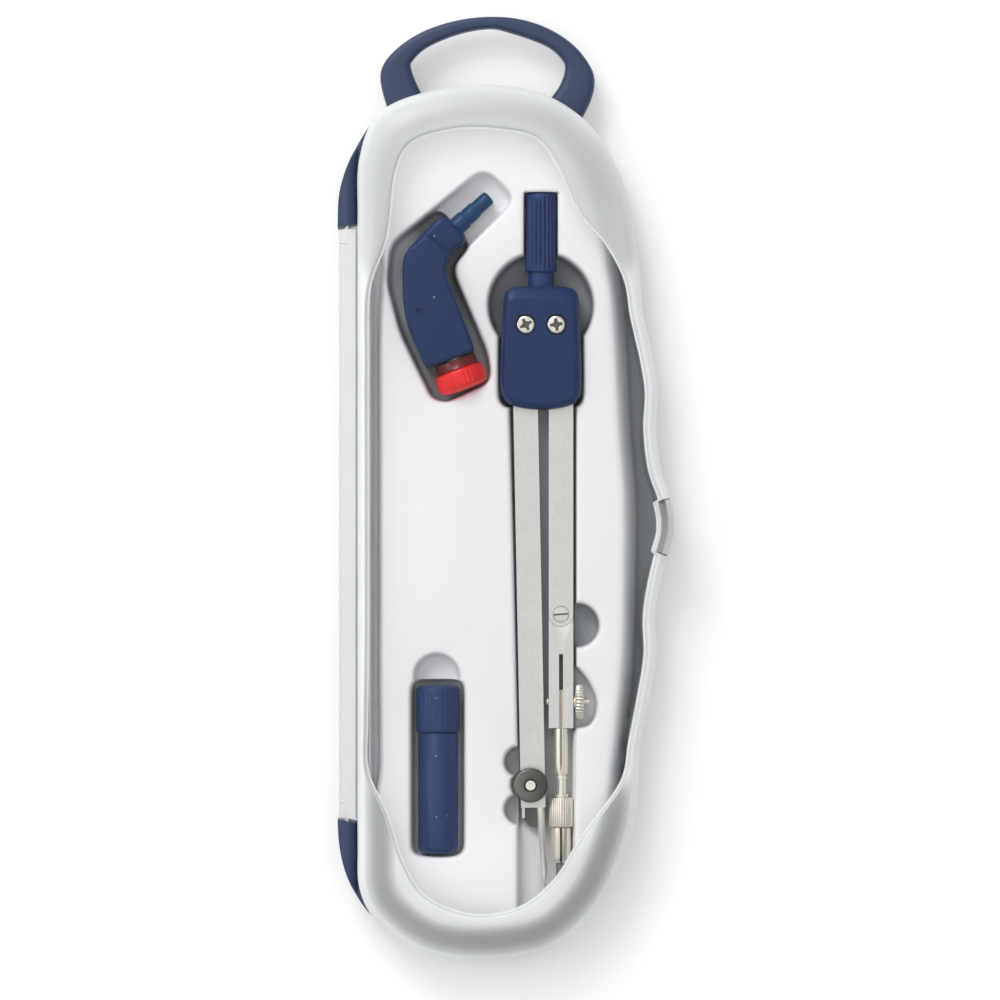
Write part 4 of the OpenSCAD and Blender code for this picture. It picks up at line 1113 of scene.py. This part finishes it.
# %% Head screws
def screw_dome(x, y, z):
    """Head: straight rim, then a crown that rises 0.34 over its radius of 1.87."""
    profile = [(0, 1.2), (0.02, 1.82), (0.07, 1.87), (0.3, 1.87), (0.42, 1.82), (0.5, 1.72), (0.58, 1.45),
               (0.64, 1.05), (0.68, 0.5)]
    return turned(profile, (x, y, z), (0, 0, 1), 56)


def cross_cutter(x, y, z, angle):
    """Four arms of a cross recess: one arm's four corners, turned a quarter at a time."""
    quarter = np.radians(angle) + np.repeat(np.arange(4), 4) * np.pi / 2
    arm = np.tile([[1.25, -0.27], [1.25, 0.27], [0.62, 0.36], [0.36, 0.62]], (4, 1))
    c, s = np.cos(quarter), np.sin(quarter)
    ring = np.column_stack([x + c * arm[:, 0] - s * arm[:, 1], y + s * arm[:, 0] + c * arm[:, 1]])
    return stack([at_height(ring, z - 0.42), at_height(ring, z + 1)])


def darkened(ob, finish, below, inside=None):
    """The faces whose middle lies below a height get a second finish: a darker one that paints shade on the
    floor of a slot or recess.
    """
    mesh = ob.data
    mesh.materials.append(finish)
    middle = np.empty(len(mesh.polygons) * 3, np.float32)
    mesh.polygons.foreach_get("center", middle)
    middle = middle.reshape(-1, 3) / MM
    low = middle[:, 2] < below
    if inside is not None:
        low &= inside(middle[:, 0], middle[:, 1])
    mesh.polygons.foreach_set("material_index", low.astype(np.int32))


def near_a_pivot(x, y, reach=1.3):
    """True within reach of either screw's middle."""
    return np.minimum(*(np.hypot(x - px, y - py) for px, py in pivots)) < reach


screws = [screw_dome(x, y, SCREW_SEAT) for x, y in pivots]
head_screws = piece("head_screw_domes", together(*screws), "compass", screw_steel,
                    ("head_screws",), crisp=45)
cut(head_screws, [cross_cutter(*pivots[0], 11.95, 28), cross_cutter(*pivots[1], 11.95, 8)])
# The floors of the cross recesses get painted shade.
darkened(head_screws, painted_recess_shade, 11.85, near_a_pivot)

# %% [markdown]
# The grip is a lathe with a rounded lower edge, a slight taper and a smaller crown. Twenty shallow grooves
# run along it and stop short of both ends, and painted shade with grime makes them a little darker.

# %% Grip and neck
grip_low, grip_high = 43.15, 58.9
length = grip_high - grip_low
grip_profile = [(0, 2.6), (0.03, 2.95), (0.16, 3.12), (0.4, 3.17), (1.0, 3.17)]
grip_profile += [(h, 3.17 - 0.16 * h / length) for h in np.linspace(2, length - 1.0, 12)]
grip_profile += [(length - 0.6, 3.0), (length - 0.35, 2.93), (length - 0.15, 2.8), (length - 0.03, 2.55),
                 (length, 2.1)]
grip_ribs = ribs(20, 0.27, 0.5, length - 0.7, 0.5, 2.2)
grip = turned(grip_profile, (compass_x, grip_low, LEG_Z), (0, 1, 0), 160, grip_ribs)
neck = turned([(0, 2.58), (6.4, 2.58), (6.5, 2.45)], (compass_x, 37.4, LEG_Z), (0, 1, 0), 64)
piece("grip_ribbed", grip, "compass", grip_navy, ("compass_grip",), crisp=50,
      values=sunk_values(grip_profile, 160, grip_ribs, 0.6))
piece("grip_neck", neck, "compass", grip_navy)

# %% [markdown]
# The legs and the clamp screw already have their exact shape in the solid model. A copy gets a hair-thin
# bevel, so that every edge catches a line of light. The knee screw is turned anew and cut with a slot.

# %% Legs
KNEE_X, KNEE_Y, FOOT_Y = 11.1, -25.2, -63.9
needle_leg = bevelled_copy("needle_leg", "needle_leg_bar", "compass", leg_metal, 0.13)
# The fork's lower plate gets painted shadow.
darkened(needle_leg, painted_recess_shade, 7.5, lambda x, y: (y < FOOT_Y) & (x > 3.8))
piece("needle_leg_lip", block(3.32, 3.86, -66.0, FOOT_Y, 6.2, 8.6, 0.1), "compass",
      leg_metal)
bevelled_copy("lead_leg_upper", "lead_leg_upper_bar", "compass", leg_metal, 0.1)
bevelled_copy("lead_leg_lower", "lead_leg_lower_bar", "compass", leg_metal, 0.1)
knee_profile = [(6.2, 0.7), (6.2, 0.9), (8.8, 0.9), (8.82, 1.5), (9.28, 1.5), (9.3, 1.4)]
knee = turned(knee_profile, (KNEE_X, KNEE_Y, 0), (0, 0, 1), 56)
knee_screw = piece("knee_screw_head", knee, "compass", leg_metal, ("knee_screw",), crisp=40)
turn = math.radians(4)
slot_ring = np.array([[-2, -0.17], [-2, 0.17], [2, 0.17], [2, -0.17]]) @ np.array(
    [[math.cos(turn), math.sin(turn)], [-math.sin(turn), math.cos(turn)]]) + [KNEE_X, KNEE_Y]
cut(knee_screw, [stack([at_height(slot_ring, 9.05), at_height(slot_ring, 10)])])
# The slot and the ring round the head get painted shade.
darkened(knee_screw, painted_recess_shade, 9.2, lambda x, y: np.hypot(x - KNEE_X, y - KNEE_Y) < 1.55)
bevelled_copy("leg_clamp_screw", "leg_clamp_stud", "compass", screw_steel, 0.08)

# %% [markdown]
# A thumb wheel pinches the slit end of the leg. Its rim is knurled with thirty fine grooves.

# %% Clamp wheel
wheel_profile = [(13.65, 1.0), (13.68, 1.25), (13.93, 1.25), (13.95, 1.3), (13.97, 3.1), (14.05, 3.3),
                 (14.2, 3.5), (15.42, 3.5), (15.58, 3.3), (15.65, 3.0), (15.6, 1.8), (15.5, 1.6), (15.5, 0.7)]
wheel_ribs = ribs(30, 0.26, 13.98, 15.62, 0.12, 1.4)
wheel = turned(wheel_profile, (0, -42.7, LEG_Z), (1, 0, 0), 240, wheel_ribs)
piece("leg_clamp_wheel_knurled", wheel, "clamp_wheel", nickel, ("leg_clamp_wheel",),
      crisp=50, values=sunk_values(wheel_profile, 240, wheel_ribs, 0.35))

# %% [markdown]
# ## Lead holder, nut, collet and lead
# These are all turned on one axis. A narrow slot runs along the tube and the collet, where the metal can
# close on the lead, and it is part of the same function of angle and height.

# %% Lead holder
LEAD_X = 11.1


def slot(start, end, depth=0.35, half_width=0.09):
    """Relief of a slot on the upper and the lower side, half_width in radians."""
    def relief(angle, height):
        """The full depth where the angle is near either side and the height lies within the slot."""
        near = np.minimum(abs(np.angle(np.exp(1j * (angle - np.pi / 2)))),
                          abs(np.angle(np.exp(1j * (angle + np.pi / 2)))))
        return depth * (near < half_width) * ((height > start) & (height < end))
    return relief


def down_y(profile):
    """Profile given as (Y, radius) from the top down, for a lathe that runs along -Y."""
    return [(-y, r) for y, r in profile]


holder_profile = down_y([
    (-40.2, 0.8), (-40.3, 1.0), (-47.9, 1.0), (-47.95, 1.25), (-48.05, 1.45), (-55.2, 1.45), (-57.1, 1.36),
    (-57.25, 1.2), (-57.4, 1.06), (-57.6, 1.06), (-57.7, 1.2), (-57.9, 1.22), (-58.2, 1.2), (-58.3, 1.07),
    (-60.95, 1.07), (-61.1, 1.3), (-61.2, 1.45), (-61.7, 1.45), (-61.8, 1.3), (-61.95, 1.3), (-66.4, 1.3)])
holder_slot = slot(40.0, 57.0, 0.3, 0.07)
holder = turned(holder_profile, (LEAD_X, 0, LEG_Z), (0, -1, 0), 96, holder_slot)
piece("lead_holder_tube", holder, "compass", nickel, ("lead_holder",), crisp=40,
      values=sunk_values(holder_profile, 96, holder_slot, 0.3))

# %% [markdown]
# The ribbed nut pulls the slit collet into its cone, and the collet grips the lead.

# %% Nut, collet and lead
nut_profile = down_y([(-61.85, 1.62), (-61.87, 2.2), (-61.95, 2.38), (-62.1, 2.48), (-67.5, 2.48),
                      (-67.66, 2.38), (-67.74, 2.2), (-67.75, 1.62)])
nut_ribs = ribs(30, 0.15, 61.97, 67.66, 0.2, 1.8)
nut = turned(nut_profile, (LEAD_X, 0, LEG_Z), (0, -1, 0), 240, nut_ribs)
piece("collet_nut_ribbed", nut, "nut", nickel, ("collet_nut",), crisp=55,
      values=sunk_values(nut_profile, 240, nut_ribs, 0.3))
collet_profile = down_y([(-66.5, 1.5), (-67.8, 1.5), (-67.85, 1.9), (-67.95, 2.0), (-74.0, 2.0),
                         (-74.12, 1.96), (-74.5, 1.7), (-74.92, 1.38), (-74.95, 1.2), (-74.9, 1.02)])
collet_slot = slot(67.9, 74.96, 0.5, 0.1)
collet = turned(collet_profile, (LEAD_X, 0, LEG_Z), (0, -1, 0), 96, collet_slot)
piece("collet_jaws", collet, "compass", nickel, ("collet",), crisp=40,
      values=sunk_values(collet_profile, 96, collet_slot, 0.4))
bevelled_copy("drawing_lead", "drawing_lead_rod", "compass", graphite, 0.03, crisp=30)

# %% [markdown]
# ## Needle and its clamp
# The needle is a stepped pin that leans a little, so its lathe has its own axis. The knob that clamps it
# has a dark turned face, a knurled edge and a bright screw in the middle.

# %% Needle side
lean = math.radians(3.3)
needle_axis = (math.sin(lean), -math.cos(lean), 0)
needle_profile = [(0, 0.6), (0.1, 0.87), (6, 0.87), (12, 0.78), (12.1, 0.7), (19.6, 0.62), (21.2, 0.42),
                  (22.15, 0.1)]
needle = turned(needle_profile, (6.65, -57.8, LEG_Z), needle_axis, 40)
piece("needle_pin", needle, "compass", needle_steel, ("needle",), crisp=40)
knob_profile = [(9.3, 1.0), (9.31, 3.1), (9.4, 3.36), (9.55, 3.5), (11.2, 3.5), (11.42, 3.42), (11.54, 3.26),
                (11.6, 3.0), (11.6, 1.45), (11.55, 1.32), (11.3, 1.2), (11.1, 1.15)]
knob_at = (5, -59.3, 0)
knob = turned(knob_profile, knob_at, (0, 0, 1), 216, ribs(36, 0.18, 9.42, 11.5, 0.1, 1.4))
piece("needle_knob_disc", knob, "needle_knob", dark_face, ("needle_clamp_knob",), crisp=40)
screw_profile = [(6.4, 0.6), (6.45, 0.8), (11.05, 0.8), (11.06, 1.06), (11.5, 1.08), (11.66, 0.98),
                 (11.7, 0.8), (11.62, 0.5), (11.6, 0.2)]
screw = turned(screw_profile, knob_at, (0, 0, 1), 40)
piece("needle_knob_screw", screw, "needle_knob", screw_steel, ("needle_clamp_screw",),
      crisp=45)

# %% [markdown]
# ## The adapter
# It takes a pen in place of the lead. A thick arm with rounded edges carries the clamp, and a stepped plug
# stands on its neck at 42 degrees. The arm's hole is cut through at the same angle.

# %% Adapter
ADAPTER_Z = 8.2  # height of the adapter's middle
PLUG_ANGLE, KNOB_ANGLE, PEN_R = math.radians(42), math.radians(20), 4.1
arm_points = [[-12.1, 43.6], [-6, 27.4], [-15.9, 23.8], [-18.6, 29.6], [-20, 33.8], [-20.5, 38],
              [-20.6, 44], [-20.1, 46.9], [-15.6, 51], [-11, 46.6]]
neck_points = [[-20, 47.2], [-13.3, 54.3], [-11.8, 54.1], [-7.9, 50.4], [-8, 49], [-11, 46.8], [-13, 43],
               [-18.5, 42]]


def rounded_slab(points, corner, half, edge_in, edge_up, steps=6):
    """An outline given thickness, with its upper and lower edges rounded as quarter ellipses."""
    ring = softened(points, corner, 5)
    ring = ring if area(ring) < 0 else ring[::-1]
    a = np.radians(np.linspace(0, 90, steps))
    inset = edge_in * (1 - np.sin(a))
    up = half - edge_up * (1 - np.cos(a))
    rings = [at_height(inward(ring, d), ADAPTER_Z - h) for d, h in zip(inset, up)]
    rings += [at_height(inward(ring, d), ADAPTER_Z + h) for d, h in zip(inset[::-1], up[::-1])]
    return stack(rings)


arm = rounded_slab(arm_points, 1.1, 5.7, 0.75, 0.9)
neck = rounded_slab(neck_points, 1.0, 3.5, 1.1, 1.4)
along_plug = (math.cos(PLUG_ANGLE), math.sin(PLUG_ANGLE), 0)
plug_profile = [(-2, 1.5), (-1.9, 1.9), (2.55, 1.88), (2.75, 1.66), (3.05, 1.62), (3.3, 1.72), (5.4, 1.7),
                (5.65, 1.5), (5.95, 1.44), (6.2, 1.52), (8.6, 1.5), (8.95, 1.42), (9.2, 1.22), (9.3, 0.95)]
plug = turned(plug_profile, (-10.1, 52.1, ADAPTER_Z), along_plug, 48)
adapter_arm = piece("adapter_arm", arm, "adapter", adapter_navy, ("adapter_body",), crisp=50)
knob_axis, knob_foot = (math.sin(KNOB_ANGLE), -math.cos(KNOB_ANGLE), 0), (-10.3, 25.9, ADAPTER_Z)
cut(adapter_arm, [
    turned([(-15, PEN_R), (15, PEN_R)], (-13.9, 35.4, ADAPTER_Z), along_plug, 64),
    turned([(-10, 1.55), (10, 1.55)], knob_foot, knob_axis, 32),
    tube_z(-17.1, 35.2, ADAPTER_Z + 5.2, ADAPTER_Z + 7, 0.7, 24)])
piece("adapter_neck", neck, "adapter", adapter_navy, crisp=50)
piece("adapter_plug", plug, "adapter", plug_navy, crisp=45)

# %% [markdown]
# The red knob clamps the pen. Its collar is painted darker, a painted shadow under its wide, finely ribbed
# head.

# %% Adapter knob
COLLAR_END = 2.3
red_profile = [(0.3, 1.6), (0.31, 4.0), (0.45, 4.2), (2.0, 4.25), (2.25, 4.45), (2.45, 4.85), (2.7, 5.03),
               (3.1, 5.1), (5.0, 5.1), (5.5, 5.0), (5.9, 4.78), (6.25, 4.35), (6.47, 3.8), (6.58, 3.1),
               (6.6, 2.0)]
red = turned(red_profile, knob_foot, knob_axis, 192, ribs(32, 0.12, 2.4, 6.1, 0.6, 2.0))
# The collar's whole length is marked "sunk", which paints shadow on it.
piece("adapter_knob_ribbed", red, "adapter_knob", clamp_red, ("adapter_clamp_knob",), crisp=50,
      values=sunk_values(red_profile, 192, lambda angle, h: (h < COLLAR_END) + 0 * angle, 0.9))

# %% [markdown]
# ## The lead case
# A plain tube with a ribbed cap. The tube's end has a small chamfer, and the cap's ribs fade at both ends.

# %% Lead case
case_axis, case_at = (0, 1, 0), (-13.5, 0, 6.8)
tube_profile = [(-73.0, 3.0), (-72.97, 3.3), (-72.75, 3.62), (-72.45, 3.85), (-72.0, 3.98), (-71.5, 4.0),
                (-49.1, 4.0), (-48.95, 3.9), (-48.93, 3.2), (-42.4, 3.2), (-42.3, 3.0)]
piece("lead_tube", turned(tube_profile, case_at, case_axis, 96), "lead_case", tube_navy,
      ("lead_case_tube",), crisp=40)
cap_profile = [(-48.8, 3.3), (-48.79, 4.2), (-48.65, 4.34), (-48.4, 4.4), (-40.6, 4.4), (-40.15, 4.3),
               (-39.8, 4.08), (-39.55, 3.75), (-39.42, 3.3), (-39.4, 2.6)]
cap = turned(cap_profile, case_at, case_axis, 192, ribs(24, 0.22, -48.6, -40.3, 0.5, 2.5))
piece("lead_tube_cap", cap, "lead_cap", tube_navy, ("lead_case_cap",), crisp=50)

# %% [markdown]
# ## Solids that keep their own mesh
# Hinge pins, the adapter's hidden screw and the spare leads inside the tube are right as they are. They
# only need their finish.

# %% Finish for the kept solids
for node, finish in (("hinge_pins", screw_steel), ("adapter_clamp_screw", screw_steel),
                     ("spare_leads", graphite)):
    for place in nodes[node].material_slots:
        place.material = finish
    print(node, "slots:", len(nodes[node].material_slots))

# %% [markdown]
# ## Floor, light and camera
# The case lies on a plain white table. A big soft panel overhead, one softbox on the left and one beyond
# the carry loop give an even light with a gentle shadow to the lower right. The floor adds its own white
# only for rays that look at it, so it never lights the object, and the shadow stays.

# %% Floor
def floor_material():
    """White diffuse floor, lifted to full white for camera, mirror and glass rays."""
    material, tree, principled = shader("white_table", Roughness=0.9, Specular_IOR_Level=0.1,
                                        Emission_Color=(1, 1, 1, 1))
    skin = placed(tree, "skin", [("Colour", linear((232, 232, 232))), ("Mottle", 0.01), ("Grain", 300.0)])
    tree.links.new(skin.outputs["Colour"], principled.inputs["Base Color"])
    ray = tree.nodes.new("ShaderNodeLightPath")
    seen = maths(tree, "ADD", ray.outputs["Is Camera Ray"],
                 maths(tree, "ADD", ray.outputs["Is Glossy Ray"], ray.outputs["Is Transmission Ray"]), True)
    tree.links.new(maths(tree, "MULTIPLY", seen, 0.32), principled.inputs["Emission Strength"])
    return material


half, gap = 3.0, 5e-5  # half the floor's width, and how far it lies under the case, in metres
mesh = bpy.data.meshes.new("table_top")
mesh.from_pydata([(-half, -half, -gap), (half, -half, -gap), (half, half, -gap), (-half, half, -gap)],
                 [], [(0, 1, 2, 3)])
mesh.materials.append(floor_material())
table_top = bpy.data.objects.new("table_top", mesh)
bpy.context.scene.collection.objects.link(table_top)
print("floor: 6 m square")

# %% [markdown]
# Soft light comes from large lamps: the larger a lamp looks from the object, the softer its shadow. The
# world adds a plain white fill.

# %% Lights
def panel(name, place, target, size, watts):
    """A square soft light at a place, aimed at a target."""
    light = bpy.data.lights.new(name, "AREA")
    light.size = size
    light.energy = watts
    ob = bpy.data.objects.new(name, light)
    ob.location = place
    ob.rotation_euler = (Vector(target) - Vector(place)).to_track_quat("-Z", "Y").to_euler()
    bpy.context.scene.collection.objects.link(ob)
    return ob


panel("overhead", (0.0, 0.05, 1.9), (0, 0, 0), 1.7, 5.0)
panel("upper_softbox", (-0.42, 0.83, 0.8), (0, 0, 0), 0.55, 7.0)
panel("left_softbox", (-0.88, 0.1, 0.75), (0, 0, 0), 0.5, 1.7)
world = bpy.data.worlds.new("studio")
world.use_nodes = True
world.node_tree.nodes["Background"].inputs["Color"].default_value = (1, 1, 1, 1)
world.node_tree.nodes["Background"].inputs["Strength"].default_value = 0.5
bpy.context.scene.world = world
bpy.context.scene.view_settings.view_transform = "Standard"

# %% [markdown]
# The camera looks straight down from more than a metre, with a long lens, so that the sides of the case
# hardly show.

# %% Camera
camera_data = bpy.data.cameras.new("camera")
camera_data.lens = 216
camera_data.sensor_width = 36
camera_data.clip_start = 0.05
camera_data.clip_end = 20
camera = bpy.data.objects.new("camera", camera_data)
camera.location = (-0.0011, -0.00235, 1.2085)
bpy.context.scene.collection.objects.link(camera)
bpy.context.scene.camera = camera
print("camera: 1.2 m above the rim plane")
